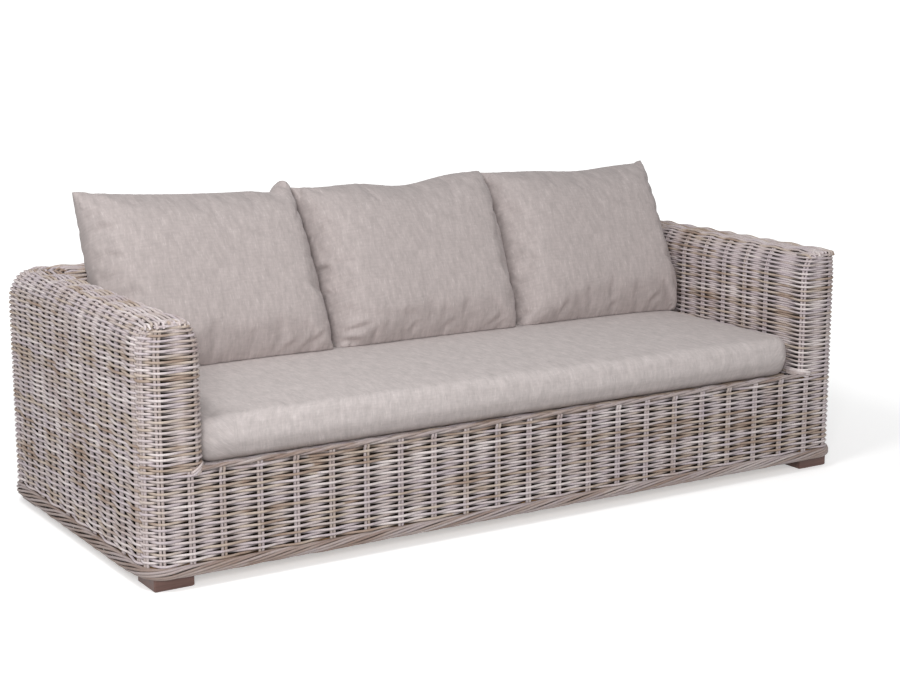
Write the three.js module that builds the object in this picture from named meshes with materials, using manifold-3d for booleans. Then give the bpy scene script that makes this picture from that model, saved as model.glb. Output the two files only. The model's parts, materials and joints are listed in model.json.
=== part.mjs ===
import * as THREE from 'three';
import { mergeVertices } from 'three/addons/utils/BufferGeometryUtils.js';
import Module from 'manifold-3d';

// A three-seat garden sofa of woven kubu rattan over a hardwood frame, with loose cushions.
// Millimetres. X runs along the sofa, Y to its back, Z up from the floor under its middle.

// Woven body
const sofaWidth = 2300;
const sofaDepth = 1028;
const armHeight = 688;
const armWidth = 163;
const backWidth = 163;
const cornerRadius = 75;
const innerNoseRadius = 35;
const shoulderAcross = 58;
const shoulderDrop = 95;
const lipAcross = 22;
const lipDrop = 22;
const weaveWall = 18;
const apronTop = 317;
const apronJoinShare = 0.5;

// Flutes of the weave, which stands proud over each pair of stakes and falls back between them
const stakePitch = 99.4;
const apronStakePitch = 103;
const firstStakeInset = 84;
const fluteDepth = 6.5;
const fluteMargin = 1.5;

// Borders that finish the edges of the weave
const borderTop = 64;
const borderFlare = 4;
const apronBorderHeight = 17;
const apronBorderDepth = 26;
const apronBorderFlare = 2;

// Feet and their bolts
const footWidth = 109;
const footHeight = 33;
const footInset = 24;
const footChamfer = 3;
const footRadius = 4;
const boltRadius = 4;
const boltHeadRadius = 7;
const boltHeadHeight = 5;
const boltHeadDepth = 6;
const boltEngagement = 22;
const counterboreRadius = 9;

// Hardwood frame
const baseRailWidth = 100;
const baseRailThickness = 25;
const boardThickness = 40;
const topRailHeight = 40;
const seatRailHeight = 62;
const seatRailThickness = 40;
const seatBackRailThickness = 60;
const seatSideRailThickness = 30;
const ribSpacing = 656;
const ribThickness = 40;
const apronPostWidth = 60;
const slatCount = 9;
const slatWidth = 70;
const slatThickness = 17.4;
const slatEndMargin = 10;

// Woven seat deck
const deckTop = 300;
const deckThickness = 20;

// Seat cushion
const seatSetback = 38;
const seatEdgeHeight = 122;
const seatCrown = 26;
const seatCornerRadius = 46;
const seatEdgeRound = 24;
const seatBottomRound = 16;
const seatSideBulge = 6;
const crownRingShares = [0.86, 0.68, 0.46, 0.22];

// Back cushions: their sides, how they lean in degrees, and how their corners stand out
const backCushionPitch = 655;
const backCushionGap = 2;
const backCushionOuterGap = 8;
const backCushionHeight = 556;
const backCushionThickness = 226;
const backCushionLean = 25;
const backCushionSeamBack = 114;
const backCushionSink = 46;
const backCushionDrawSide = 7;
const backCushionDrawTop = 12;
const backCushionEar = 24;
const backCushionTilt = 22;

// Fits
const clearance = 0.3;
const overrun = 50;
const arcSteps = 5;
const boltSides = 12;

const halfWidth = sofaWidth / 2;
const halfDepth = sofaDepth / 2;
const armInnerX = halfWidth - armWidth;
const backInnerY = halfDepth - backWidth;
const armCentreX = halfWidth - armWidth / 2;
const backCentreY = halfDepth - backWidth / 2;
const skin = weaveWall + clearance;
const skinBottom = borderTop + clearance;
const baseRailBottom = footHeight + clearance;
const borderBottom = baseRailBottom;
const baseRailTop = baseRailBottom + baseRailThickness;
const postBottom = baseRailTop + clearance;
const topRailTop = armHeight - skin;
const topRailBottom = topRailTop - topRailHeight;
const deckBottom = deckTop - deckThickness;
const slatTop = deckBottom - clearance;
const seatRailTop = slatTop - slatThickness - clearance;
const seatRailBottom = seatRailTop - seatRailHeight;
const sides = [
  { name: 'left', sign: -1 },
  { name: 'right', sign: 1 },
];
const ends = [
  { name: 'front', sign: -1 },
  { name: 'back', sign: 1 },
];

const wasm = await Module();
wasm.setup();

// Turns a closed geometry into a solid that can be joined and cut.
function solidOf(geometry) {
  const bare = geometry.clone();
  for (const name of Object.keys(bare.attributes)) {
    if (name !== 'position') bare.deleteAttribute(name);
  }
  const merged = mergeVertices(bare);
  return new wasm.Manifold(new wasm.Mesh({
    numProp: 3,
    vertProperties: new Float32Array(merged.attributes.position.array),
    triVerts: new Uint32Array(merged.index.array),
  }));
}

function geometryOf(solid) {
  const mesh = solid.getMesh();
  const geometry = new THREE.BufferGeometry();
  geometry.setAttribute('position', new THREE.BufferAttribute(new Float32Array(mesh.vertProperties), 3));
  geometry.setIndex(new THREE.BufferAttribute(new Uint32Array(mesh.triVerts), 1));
  return geometry;
}

function block(x0, x1, y0, y1, z0, z1) {
  const geometry = new THREE.BoxGeometry(x1 - x0, y1 - y0, z1 - z0);
  return geometry.translate((x0 + x1) / 2, (y0 + y1) / 2, (z0 + z1) / 2);
}

const blockSolid = (...corners) => solidOf(block(...corners));

// Skins a stack of rings with equal point counts, counter-clockwise from above, lowest first.
function loft(rings) {
  const count = rings[0].length;
  const positions = rings.flat(2);
  const centres = [rings[0], rings[rings.length - 1]].map((ring) => {
    const sum = ring.reduce((total, point) => total.map((value, axis) => value + point[axis]), [0, 0, 0]);
    return sum.map((value) => value / count);
  });
  positions.push(...centres.flat());
  const faces = [];
  for (let level = 0; level + 1 < rings.length; level += 1) {
    for (let i = 0; i < count; i += 1) {
      const a = level * count + i;
      const b = level * count + (i + 1) % count;
      faces.push(a, b, b + count, a, b + count, a + count);
    }
  }
  const foot = rings.length * count;
  const last = (rings.length - 1) * count;
  for (let i = 0; i < count; i += 1) {
    const next = (i + 1) % count;
    faces.push(foot, next, i, foot + 1, last + i, last + next);
  }
  const geometry = new THREE.BufferGeometry();
  geometry.setAttribute('position', new THREE.Float32BufferAttribute(positions, 3));
  geometry.setIndex(faces);
  return geometry;
}

// A rounded rectangle at one height, counter-clockwise, with extra points along its sides.
// The radius is one number, or four from the front right corner on.
function roundedRing(x0, x1, y0, y1, z, radius, steps = arcSteps, alongX = 1, alongY = 1) {
  const [a, b, c, d] = Array.isArray(radius) ? radius : [radius, radius, radius, radius];
  const corners = [
    { x: x1 - a, y: y0 + a, turn: -0.25, reach: a },
    { x: x1 - b, y: y1 - b, turn: 0, reach: b },
    { x: x0 + c, y: y1 - c, turn: 0.25, reach: c },
    { x: x0 + d, y: y0 + d, turn: 0.5, reach: d },
  ];
  const ring = [];
  corners.forEach((corner, index) => {
    for (let step = 0; step <= steps; step += 1) {
      const angle = (corner.turn + 0.25 * step / steps) * 2 * Math.PI;
      ring.push([corner.x + corner.reach * Math.cos(angle), corner.y + corner.reach * Math.sin(angle), z]);
    }
    const next = corners[(index + 1) % corners.length];
    const start = ring[ring.length - 1];
    const angle = next.turn * 2 * Math.PI;
    const end = [next.x + next.reach * Math.cos(angle), next.y + next.reach * Math.sin(angle)];
    const pieces = index % 2 === 0 ? alongY : alongX;
    for (let piece = 1; piece < pieces; piece += 1) {
      const share = piece / pieces;
      ring.push([start[0] + (end[0] - start[0]) * share, start[1] + (end[1] - start[1]) * share, z]);
    }
  });
  return ring;
}

// How far a quarter ellipse has drawn in at a height, for a top edge rounded by across and drop.
function drawIn(z, top, across, drop) {
  const rise = Math.max(0, (z - (top - drop)) / drop);
  return across * (1 - Math.sqrt(Math.max(0, 1 - rise * rise)));
}

// Heights of a body with rounded shoulders, from its bottom to its top.
function shoulderHeights(bottom, top, drop) {
  const heights = [bottom];
  for (let step = 0; step <= arcSteps; step += 1) {
    heights.push(top - drop + drop * Math.sin(0.5 * Math.PI * step / arcSteps));
  }
  return heights;
}

// The body of one arm: round in plan at its corners, with elliptical shoulders and a tight front lip.
function armBody(side, inset, bottom) {
  const top = armHeight - inset;
  const across = shoulderAcross - inset;
  const drop = shoulderDrop - inset;
  const rings = shoulderHeights(bottom, top, drop).map((z) => {
    const shoulder = drawIn(z, top, across, drop);
    const lip = drawIn(z, top, lipAcross - inset, lipDrop - inset);
    const outer = halfWidth - inset - shoulder;
    const inner = armInnerX + inset + shoulder;
    const x0 = side.sign < 0 ? -outer : inner;
    const x1 = side.sign < 0 ? -inner : outer;
    const radius = cornerRadius - inset - shoulder;
    const nose = Math.min(innerNoseRadius - inset, radius);
    const radii = side.sign < 0 ? [nose, radius, radius, radius] : [radius, radius, radius, nose];
    return roundedRing(x0, x1, -halfDepth + inset + lip, halfDepth - inset - shoulder, z, radii);
  });
  return solidOf(loft(rings));
}

// The body of the back, which runs into the middle of each arm.
function backBody(inset, bottom) {
  const top = armHeight - inset;
  const across = shoulderAcross - inset;
  const drop = shoulderDrop - inset;
  const section = new THREE.Shape();
  const half = backWidth / 2 - inset;
  section.moveTo(-half, bottom);
  section.lineTo(half, bottom);
  for (const z of shoulderHeights(bottom, top, drop).slice(1)) {
    section.lineTo(half - drawIn(z, top, across, drop), z);
  }
  for (const z of shoulderHeights(bottom, top, drop).slice(1).reverse()) {
    section.lineTo(drawIn(z, top, across, drop) - half, z);
  }
  const geometry = new THREE.ExtrudeGeometry(section, { depth: 2 * armCentreX, bevelEnabled: false });
  geometry.translate(0, 0, -armCentreX);
  geometry.rotateX(0.5 * Math.PI).rotateZ(0.5 * Math.PI);
  return solidOf(geometry.translate(0, backCentreY, 0));
}

// The whole footprint of the woven body, as a plate.
function footprint(inset, z0, z1) {
  const rings = [z0, z1].map((z) => roundedRing(
    -halfWidth + inset, halfWidth - inset, -halfDepth + inset, halfDepth - inset, z, cornerRadius - inset,
  ));
  return solidOf(loft(rings));
}

// Places along a wall where its weave is full, over the stakes, and where it falls back between them.
function fluteStations(first, count, pitch) {
  const stations = [];
  for (let stake = 0; stake < count; stake += 1) {
    const place = first + stake * pitch;
    stations.push({ place, inset: -fluteMargin });
    if (stake + 1 < count) stations.push({ place: place + pitch / 2, inset: fluteDepth });
  }
  return stations;
}

// A wall's section, as half width and height: up one side, over the shoulders and down the other.
function sectionRing(width, inset) {
  const top = armHeight - inset;
  const drop = shoulderDrop - inset;
  const rising = shoulderHeights(-overrun, top, drop).map((z) => [
    width / 2 - inset - drawIn(z, top, shoulderAcross - inset, drop), z,
  ]);
  return [...rising, ...rising.map(([across, z]) => [-across, z]).reverse()];
}

// The room that the weave of a wall fills: its section, drawn in and out along its length.
function flutedRoom(width, stations, reach, pointAt) {
  const all = [
    { place: -reach, inset: -fluteMargin }, ...stations, { place: reach, inset: -fluteMargin },
  ];
  return solidOf(loft(all.map(({ place, inset }) => (
    sectionRing(width, inset).map(([across, z]) => pointAt(place, across, z))
  ))));
}

function armRoom(side) {
  const first = -halfDepth + firstStakeInset;
  const run = 2 * halfDepth - firstStakeInset - cornerRadius;
  const stations = fluteStations(first, 1 + Math.floor(run / stakePitch), stakePitch);
  return flutedRoom(armWidth, stations, halfDepth + overrun, (place, across, z) => (
    [side.sign * armCentreX - across, place, z]
  ));
}

function backRoom() {
  const half = Math.round(armInnerX / stakePitch);
  const stations = fluteStations(-half * stakePitch, 2 * half + 1, stakePitch);
  return flutedRoom(backWidth, stations, halfWidth + overrun, (place, across, z) => (
    [place, backCentreY + across, z]
  ));
}

const armsGrown = sides.map((side) => armBody(side, -clearance, -overrun));
const backHollow = backBody(weaveWall, -overrun);
const underSeat = blockSolid(
  -armInnerX - weaveWall, armInnerX + weaveWall,
  -halfDepth + weaveWall, backInnerY + weaveWall, -overrun, deckBottom,
);

function armWeave(side) {
  return armBody(side, 0, skinBottom)
    .subtract(armBody(side, weaveWall, -overrun))
    .subtract(backHollow)
    .subtract(underSeat)
    .intersect(armRoom(side));
}

function backWeave() {
  let weave = backBody(0, skinBottom).subtract(backHollow).subtract(underSeat);
  for (const arm of armsGrown) weave = weave.subtract(arm);
  return weave.intersect(backRoom());
}

const apronReach = armInnerX + innerNoseRadius * apronJoinShare;

function apronRoom() {
  const half = Math.round(apronReach / apronStakePitch);
  const stations = fluteStations(-half * apronStakePitch, 2 * half + 1, apronStakePitch);
  const behind = -halfDepth + weaveWall + overrun;
  const plan = new THREE.Shape();
  plan.moveTo(-apronReach - apronStakePitch, behind);
  plan.lineTo(-apronReach - apronStakePitch, -halfDepth - fluteMargin);
  for (const { place, inset } of stations) plan.lineTo(place, -halfDepth + inset);
  plan.lineTo(apronReach + apronStakePitch, -halfDepth - fluteMargin);
  plan.lineTo(apronReach + apronStakePitch, behind);
  return solidOf(new THREE.ExtrudeGeometry(plan, { depth: apronTop, bevelEnabled: false }));
}

function apronWeave() {
  let weave = blockSolid(
    -apronReach, apronReach, -halfDepth, -halfDepth + weaveWall,
    skinBottom, apronTop - apronBorderHeight - clearance,
  );
  for (const arm of armsGrown) weave = weave.subtract(arm);
  return weave.intersect(apronRoom());
}

function apronBorder() {
  const front = -halfDepth - apronBorderFlare;
  let border = blockSolid(
    -apronReach, apronReach, front, front + apronBorderDepth,
    Math.max(apronTop - apronBorderHeight, deckTop + clearance), apronTop,
  );
  for (const arm of armsGrown) border = border.subtract(arm);
  return border;
}

// The border of one side of the footprint, mitred to its neighbours at the corners.
function borderRun(direction, sign) {
  const ring = footprint(-borderFlare, borderBottom, borderTop)
    .subtract(footprint(weaveWall, -overrun, borderTop + overrun));
  const alongX = direction === 'x';
  const reach = alongX ? halfWidth : halfDepth;
  const near = alongX ? halfDepth : halfWidth;
  const mitre = near - (cornerRadius - weaveWall) - weaveWall;
  const outer = reach + overrun;
  const depth = near + overrun - mitre;
  const shape = new THREE.Shape();
  const slope = reach - cornerRadius;
  shape.moveTo(-slope + clearance, mitre);
  shape.lineTo(slope - clearance, mitre);
  shape.lineTo(slope + depth - clearance, mitre + depth);
  shape.lineTo(-slope - depth + clearance, mitre + depth);
  const height = borderTop + 2 * overrun;
  const wedge = new THREE.ExtrudeGeometry(shape, { depth: height, bevelEnabled: false });
  wedge.translate(0, 0, -overrun);
  if (alongX && sign < 0) wedge.rotateZ(Math.PI);
  if (!alongX) wedge.rotateZ(-sign * 0.5 * Math.PI);
  return ring.intersect(solidOf(wedge));
}

function foot(side, end) {
  const { x, y } = footCentre(side, end);
  const half = footWidth / 2;
  const levels = [
    { z: 0, inset: footChamfer },
    { z: footChamfer, inset: 0 },
    { z: footHeight, inset: 0 },
  ];
  const rings = levels.map(({ z, inset }) => roundedRing(
    x - half + inset, x + half - inset, y - half + inset, y + half - inset, z, footRadius, 2,
  ));
  return solidOf(loft(rings))
    .subtract(boltHole(x, y))
    .subtract(post(x, y, counterboreRadius, -overrun, boltHeadDepth + boltHeadHeight + clearance));
}

function footCentre(side, end) {
  const reach = footInset + footWidth / 2;
  return { x: side.sign * (halfWidth - reach), y: end.sign * (halfDepth - reach) };
}

function post(x, y, radius, z0, z1) {
  const geometry = new THREE.CylinderGeometry(radius, radius, z1 - z0, boltSides);
  return solidOf(geometry.rotateX(0.5 * Math.PI).translate(x, y, (z0 + z1) / 2));
}

const boltHole = (x, y) => post(x, y, boltRadius + clearance, -overrun, baseRailTop + overrun);

function bolt(side, end) {
  const { x, y } = footCentre(side, end);
  const under = boltHeadDepth + boltHeadHeight;
  const head = post(x, y, boltHeadRadius, boltHeadDepth, under);
  return head.add(post(x, y, boltRadius, under - boltHeadHeight / 2, baseRailBottom + boltEngagement));
}

function baseEndRail(end) {
  const near = end.sign * (halfDepth - skin - baseRailWidth);
  const far = end.sign * halfDepth;
  let rail = footprint(skin, baseRailBottom, baseRailTop).intersect(blockSolid(
    -halfWidth, halfWidth, Math.min(near, far), Math.max(near, far), 0, baseRailTop + overrun,
  ));
  for (const side of sides) {
    const { x, y } = footCentre(side, end);
    rail = rail.subtract(boltHole(x, y));
  }
  return rail;
}

const baseRunY = halfDepth - skin - baseRailWidth - clearance;

function mirroredBlock(side, near, far, y0, y1, z0, z1) {
  const x = [side.sign * near, side.sign * far].sort((a, b) => a - b);
  return blockSolid(x[0], x[1], y0, y1, z0, z1);
}

// A board across an arm, cut to the inside of its weave.
function armBoard(side, y0, y1, top) {
  return armBody(side, skin, postBottom).intersect(
    blockSolid(-halfWidth, halfWidth, y0, y1, 0, top),
  );
}

function backRib(x) {
  return backBody(skin, postBottom).intersect(blockSolid(
    x - ribThickness / 2, x + ribThickness / 2, 0, halfDepth, 0, topRailBottom - clearance,
  ));
}

const boardFront = -halfDepth + skin;
const boardRear = halfDepth - skin;
const topRailHalf = armWidth / 2 - shoulderAcross;

// The seat cushion: one long boxed cushion, flat below, crowned above and drawn in at its corners.
const seatBottom = deckTop + clearance;
const seatFront = -halfDepth + seatSetback;
const seatRear = backInnerY - clearance;
const seatHalfX = armInnerX - clearance;
const seatCentreY = (seatFront + seatRear) / 2;
const seatHalfY = (seatRear - seatFront) / 2;

function seatTop(x, y, drop) {
  const across = Math.min(1, Math.abs(x) / seatHalfX);
  const along = Math.min(1, Math.abs(y - seatCentreY) / seatHalfY);
  const swell = (1 - across ** 6) * (1 - along ** 4);
  return seatBottom + seatEdgeHeight - drop + seatCrown * swell;
}

function seatCushion() {
  const alongX = 16;
  const alongY = 6;
  const ring = (inset, radius, height) => roundedRing(
    -seatHalfX + inset, seatHalfX - inset, seatFront + inset, seatRear - inset,
    0, radius, 3, alongX, alongY,
  ).map(([x, y]) => [x, y, height(x, y)]);
  const rings = [];
  const roundSteps = 3;
  for (let step = 0; step <= roundSteps; step += 1) {
    const angle = 0.5 * Math.PI * step / roundSteps;
    const inset = seatSideBulge + seatBottomRound * (1 - Math.sin(angle));
    const rise = seatBottomRound * (1 - Math.cos(angle));
    rings.push(ring(inset, seatCornerRadius - inset, () => seatBottom + rise));
  }
  rings.push(ring(0, seatCornerRadius, () => seatBottom + seatEdgeHeight / 2));
  for (let step = 0; step <= roundSteps; step += 1) {
    const angle = 0.5 * Math.PI * step / roundSteps;
    const inset = seatSideBulge / 2 + seatEdgeRound * (1 - Math.cos(angle));
    const drop = seatEdgeRound * (1 - Math.sin(angle));
    rings.push(ring(inset, seatCornerRadius - inset, (x, y) => seatTop(x, y, drop)));
  }
  const rim = rings[rings.length - 1];
  for (const share of crownRingShares) {
    rings.push(rim.map(([x, y]) => {
      const nearX = x * share;
      const nearY = seatCentreY + (y - seatCentreY) * share;
      return [nearX, nearY, seatTop(nearX, nearY, 0)];
    }));
  }
  return solidOf(loft(rings));
}

const backCushions = [
  { name: 'left', place: -1, tilt: backCushionTilt },
  { name: 'middle', place: 0, tilt: 0 },
  { name: 'right', place: 1, tilt: 0 },
];

// A knife-edged back cushion that leans back. Its outer top corner stands out over the arm.
function pillow({ place, tilt }) {
  const centreX = place * backCushionPitch;
  const halfV = backCushionHeight / 2;
  const lean = THREE.MathUtils.degToRad(backCushionLean);
  const columns = 14;
  const rows = 12;
  const spread = (index, count) => Math.sin(0.5 * Math.PI * (2 * index / count - 1));
  const sideReach = (u, v) => {
    if (u * place <= 0) return (backCushionPitch - backCushionGap) / 2;
    return armInnerX - backCushionOuterGap - backCushionPitch + backCushionEar * Math.max(0, v) ** 3;
  };
  const point = (u, v, face) => {
    const across = u * (sideReach(u, v) - backCushionDrawSide * (1 - v * v) * Math.abs(u) ** 3);
    const raised = tilt * (1 - u) / 2 * (1 + v) / 2;
    const along = v * (halfV - backCushionDrawTop * (1 - u * u) * Math.abs(v) ** 3) + raised;
    const sideFullness = Math.sqrt(1 - Math.abs(u) ** 9);
    const endFullness = Math.sqrt(1 - Math.abs(v) ** (v > 0 ? 3.5 : 6));
    const out = face * 0.5 * backCushionThickness * sideFullness * endFullness;
    const up = halfV - backCushionSink + along;
    const y = backCushionSeamBack + up * Math.sin(lean) - out * Math.cos(lean);
    const z = seatBottom + seatEdgeHeight + up * Math.cos(lean) + out * Math.sin(lean);
    return [centreX + across, y, z];
  };
  const points = [];
  const faces = [];
  for (const face of [1, -1]) {
    for (let j = 0; j <= rows; j += 1) {
      for (let i = 0; i <= columns; i += 1) {
        points.push(...point(spread(i, columns), spread(j, rows), face));
      }
    }
  }
  const row = columns + 1;
  const sheet = row * (rows + 1);
  for (let j = 0; j < rows; j += 1) {
    for (let i = 0; i < columns; i += 1) {
      const a = j * row + i;
      faces.push(a, a + 1, a + row + 1, a, a + row + 1, a + row);
      const b = a + sheet;
      faces.push(b, b + row + 1, b + 1, b, b + row, b + row + 1);
    }
  }
  const geometry = new THREE.BufferGeometry();
  geometry.setAttribute('position', new THREE.Float32BufferAttribute(points, 3));
  geometry.setIndex(faces);
  return solidOf(geometry);
}

const finishes = {
  weave: { color: 0xb9aca6, roughness: 0.75, metalness: 0 },
  border: { color: 0xa89a92, roughness: 0.75, metalness: 0 },
  frame: { color: 0x8a5a3c, roughness: 0.65, metalness: 0 },
  foot: { color: 0x54352b, roughness: 0.5, metalness: 0 },
  deck: { color: 0x9c8f88, roughness: 0.8, metalness: 0 },
  fabric: { color: 0xbdb3ae, roughness: 0.9, metalness: 0 },
  steel: { color: 0xb8bcc0, roughness: 0.35, metalness: 1 },
};

const sofa = new THREE.Group();

function addPiece(name, solid, finish) {
  const geometry = geometryOf(solid);
  geometry.computeVertexNormals();
  const mesh = new THREE.Mesh(geometry, new THREE.MeshStandardMaterial(finishes[finish]));
  mesh.name = name;
  sofa.add(mesh);
}

function addFeet() {
  for (const end of ends) {
    for (const side of sides) {
      addPiece(`foot_${end.name}_${side.name}`, foot(side, end), 'foot');
      addPiece(`foot_bolt_${end.name}_${side.name}`, bolt(side, end), 'steel');
    }
  }
}

function addBase() {
  for (const end of ends) addPiece(`base_rail_${end.name}`, baseEndRail(end), 'frame');
  for (const side of sides) {
    const far = halfWidth - skin;
    const rail = mirroredBlock(
      side, far - baseRailWidth, far, -baseRunY, baseRunY, baseRailBottom, baseRailTop,
    );
    addPiece(`base_rail_${side.name}`, rail, 'frame');
  }
  const half = baseRailWidth / 2;
  addPiece('base_centre_bearer', blockSolid(
    -half, half, -baseRunY, baseRunY, baseRailBottom, baseRailTop,
  ), 'frame');
}

function addArmFrames() {
  for (const side of sides) {
    const half = boardThickness / 2;
    const railEnd = boardRear - boardThickness - clearance;
    addPiece(`arm_front_board_${side.name}`, armBoard(
      side, -halfDepth, boardFront + boardThickness, armHeight,
    ), 'frame');
    addPiece(`arm_rear_board_${side.name}`, armBoard(
      side, boardRear - boardThickness, halfDepth, armHeight,
    ), 'frame');
    addPiece(`arm_middle_board_${side.name}`, armBoard(
      side, -half, half, topRailBottom - clearance,
    ), 'frame');
    const topRail = mirroredBlock(
      side, armCentreX - topRailHalf, armCentreX + topRailHalf, -railEnd, railEnd, topRailBottom, topRailTop,
    );
    addPiece(`arm_top_rail_${side.name}`, topRail.intersect(armBody(side, skin, postBottom)), 'frame');
  }
}

function addBackFrame() {
  for (const side of sides) {
    addPiece(`back_rib_${side.name}`, backRib(side.sign * ribSpacing / 2), 'frame');
  }
  const reach = armCentreX - topRailHalf - clearance;
  const half = backWidth / 2 - shoulderAcross;
  const rear = Math.min(backCentreY + half, boardRear - boardThickness - clearance);
  const topRail = blockSolid(-reach, reach, backCentreY - half, rear, topRailBottom, topRailTop);
  addPiece('back_top_rail', topRail.intersect(backBody(skin, postBottom)), 'frame');
}

function addSeatFrame() {
  const reach = armInnerX + weaveWall;
  const frontRear = boardFront + seatRailThickness;
  const backFace = backInnerY + weaveWall;
  const backFront = backFace - seatBackRailThickness;
  addPiece('seat_rail_front', blockSolid(
    -reach, reach, boardFront, frontRear, seatRailBottom, seatRailTop,
  ), 'frame');
  addPiece('seat_rail_back', blockSolid(
    -reach, reach, backFront, backFace, seatRailBottom, seatRailTop,
  ), 'frame');
  for (const side of sides) {
    addPiece(`seat_rail_${side.name}`, mirroredBlock(
      side, reach - seatSideRailThickness, reach,
      frontRear + clearance, backFront - clearance, seatRailBottom, seatRailTop,
    ), 'frame');
  }
  ['left', 'centre', 'right'].forEach((name, index) => {
    const x = (index - 1) * ribSpacing;
    addPiece(`apron_post_${name}`, blockSolid(
      x - apronPostWidth / 2, x + apronPostWidth / 2, boardFront, frontRear,
      postBottom, seatRailBottom - clearance,
    ), 'frame');
  });
  const outerSlat = armInnerX - slatEndMargin - slatWidth / 2;
  for (let index = 0; index < slatCount; index += 1) {
    const x = outerSlat * (2 * index / (slatCount - 1) - 1);
    addPiece(`seat_slat_${index + 1}`, blockSolid(
      x - slatWidth / 2, x + slatWidth / 2, boardFront, backFace, slatTop - slatThickness, slatTop,
    ), 'frame');
  }
  const deckX = armInnerX - clearance;
  addPiece('seat_deck_weave', blockSolid(
    -deckX, deckX, boardFront, backInnerY - clearance, deckBottom, deckTop,
  ), 'deck');
}

function addWeave() {
  for (const side of sides) addPiece(`arm_weave_${side.name}`, armWeave(side), 'weave');
  addPiece('back_weave', backWeave(), 'weave');
  addPiece('apron_weave', apronWeave(), 'weave');
  addPiece('apron_border', apronBorder(), 'border');
  addPiece('base_border_front', borderRun('x', -1), 'border');
  addPiece('base_border_back', borderRun('x', 1), 'border');
  addPiece('base_border_left', borderRun('y', -1), 'border');
  addPiece('base_border_right', borderRun('y', 1), 'border');
}

function addCushions() {
  const seat = seatCushion();
  addPiece('seat_cushion', seat, 'fabric');
  const seatGrown = seat.add(seat.translate([0, 0, clearance])).add(seat.translate([0, 0, -clearance]));
  const behind = blockSolid(
    -halfWidth, halfWidth, backInnerY - clearance, halfDepth, 0, 2 * armHeight,
  );
  for (const cushion of backCushions) {
    const solid = pillow(cushion).subtract(seatGrown).subtract(behind);
    addPiece(`back_cushion_${cushion.name}`, solid, 'fabric');
  }
}

addFeet();
addBase();
addArmFrames();
addBackFrame();
addSeatFrame();
addWeave();
addCushions();

export default sofa;
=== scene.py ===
# The looks of a three-seat garden sofa: woven kubu rattan, hardwood feet and loose linen cushions.
# Metres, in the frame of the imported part: X runs along the sofa, Y to its back, Z up from the floor.
import json
import math

import bmesh
import bpy
import numpy as np
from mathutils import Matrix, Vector


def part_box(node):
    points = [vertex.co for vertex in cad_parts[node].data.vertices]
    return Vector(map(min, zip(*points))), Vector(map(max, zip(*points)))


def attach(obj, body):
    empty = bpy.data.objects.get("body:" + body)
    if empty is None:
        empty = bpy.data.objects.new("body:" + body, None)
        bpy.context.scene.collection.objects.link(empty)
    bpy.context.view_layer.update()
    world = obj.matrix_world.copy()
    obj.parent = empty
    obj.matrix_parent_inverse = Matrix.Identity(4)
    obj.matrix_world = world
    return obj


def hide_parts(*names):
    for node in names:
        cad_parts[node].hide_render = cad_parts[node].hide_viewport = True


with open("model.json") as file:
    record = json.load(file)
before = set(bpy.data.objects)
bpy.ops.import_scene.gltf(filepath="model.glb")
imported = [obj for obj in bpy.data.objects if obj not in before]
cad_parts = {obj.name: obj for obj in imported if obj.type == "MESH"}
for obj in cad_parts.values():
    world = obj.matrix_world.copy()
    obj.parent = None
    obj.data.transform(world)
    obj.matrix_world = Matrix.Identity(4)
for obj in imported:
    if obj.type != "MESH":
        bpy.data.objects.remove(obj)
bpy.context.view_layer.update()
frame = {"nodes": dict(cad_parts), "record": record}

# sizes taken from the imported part
arm_low, arm_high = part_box("arm_weave_right")
half_width = arm_high.x
half_depth = -arm_low.y
arm_inner = arm_low.x
arm_top = arm_high.z
wall = half_width - arm_inner
back_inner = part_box("back_weave")[0].y
apron_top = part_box("apron_border")[1].z
apron_border_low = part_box("apron_border")[0].z
border_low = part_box("base_border_front")[0].z
border_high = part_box("base_border_front")[1].z
deck_low, deck_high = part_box("seat_deck_weave")
seat_low, seat_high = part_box("seat_cushion")

# Roundings of the woven body
corner_radius = 0.075
inner_nose_radius = 0.035
inner_corner_radius = 0.010
shoulder_across = 0.058
shoulder_drop = 0.095
lip = 0.013

# The weave: round strands over and under pairs of stakes
strand_radius = 0.0035
stake_radius = 0.0041
stake_pair_gap = 0.0094
weave_depth = 0.0073
weave_inset = 0.0098
# A thin dark sheet of painted shade sits behind the weave, for the dark inside of the woven walls
shade_sheet_inset = 0.0172
shade_sheet_thickness = 0.0012
shade_sheet_least_depth = 0.009
skirt_pitch = 0.0077
wall_pitch = 0.0067
loop_end_turn = math.radians(62)
row_tuck = 0.010
strand_wander = 0.0017
strand_thickness_spread = 0.22
strand_length = 0.8
calm_on_top = 0.4
wave_power = 0.75
lift_scales, sway_scales, swell_scales = (9.0, 3.7), (5.0, 0.45), (4.0, 5.3)
joint_step, joint_spread = 0.618, 7.0
stake_behind = 0.0008
stake_tone = (0.6, 0.3)
stake_lift = 0.1
stake_every = 3
side_stakes = [-0.430 + 0.0994 * k for k in range(9)]
back_stakes = [0.0994 * (k - 10) for k in range(21)]
apron_pitch = 0.103
apron_stakes = [-1.027] + [apron_pitch * (k - 10) - 0.014 for k in range(1, 21)]
corner_shares = (0.15, 0.85)
front_outer_shares = (0.26, 0.70)
front_inner_shares = (0.62,)

# Numbers that keep the random draws of neighbouring rows, stakes and border strands apart
row_draws, stake_draws, rope_draws = 41.0, 97.0, 53.0

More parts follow.
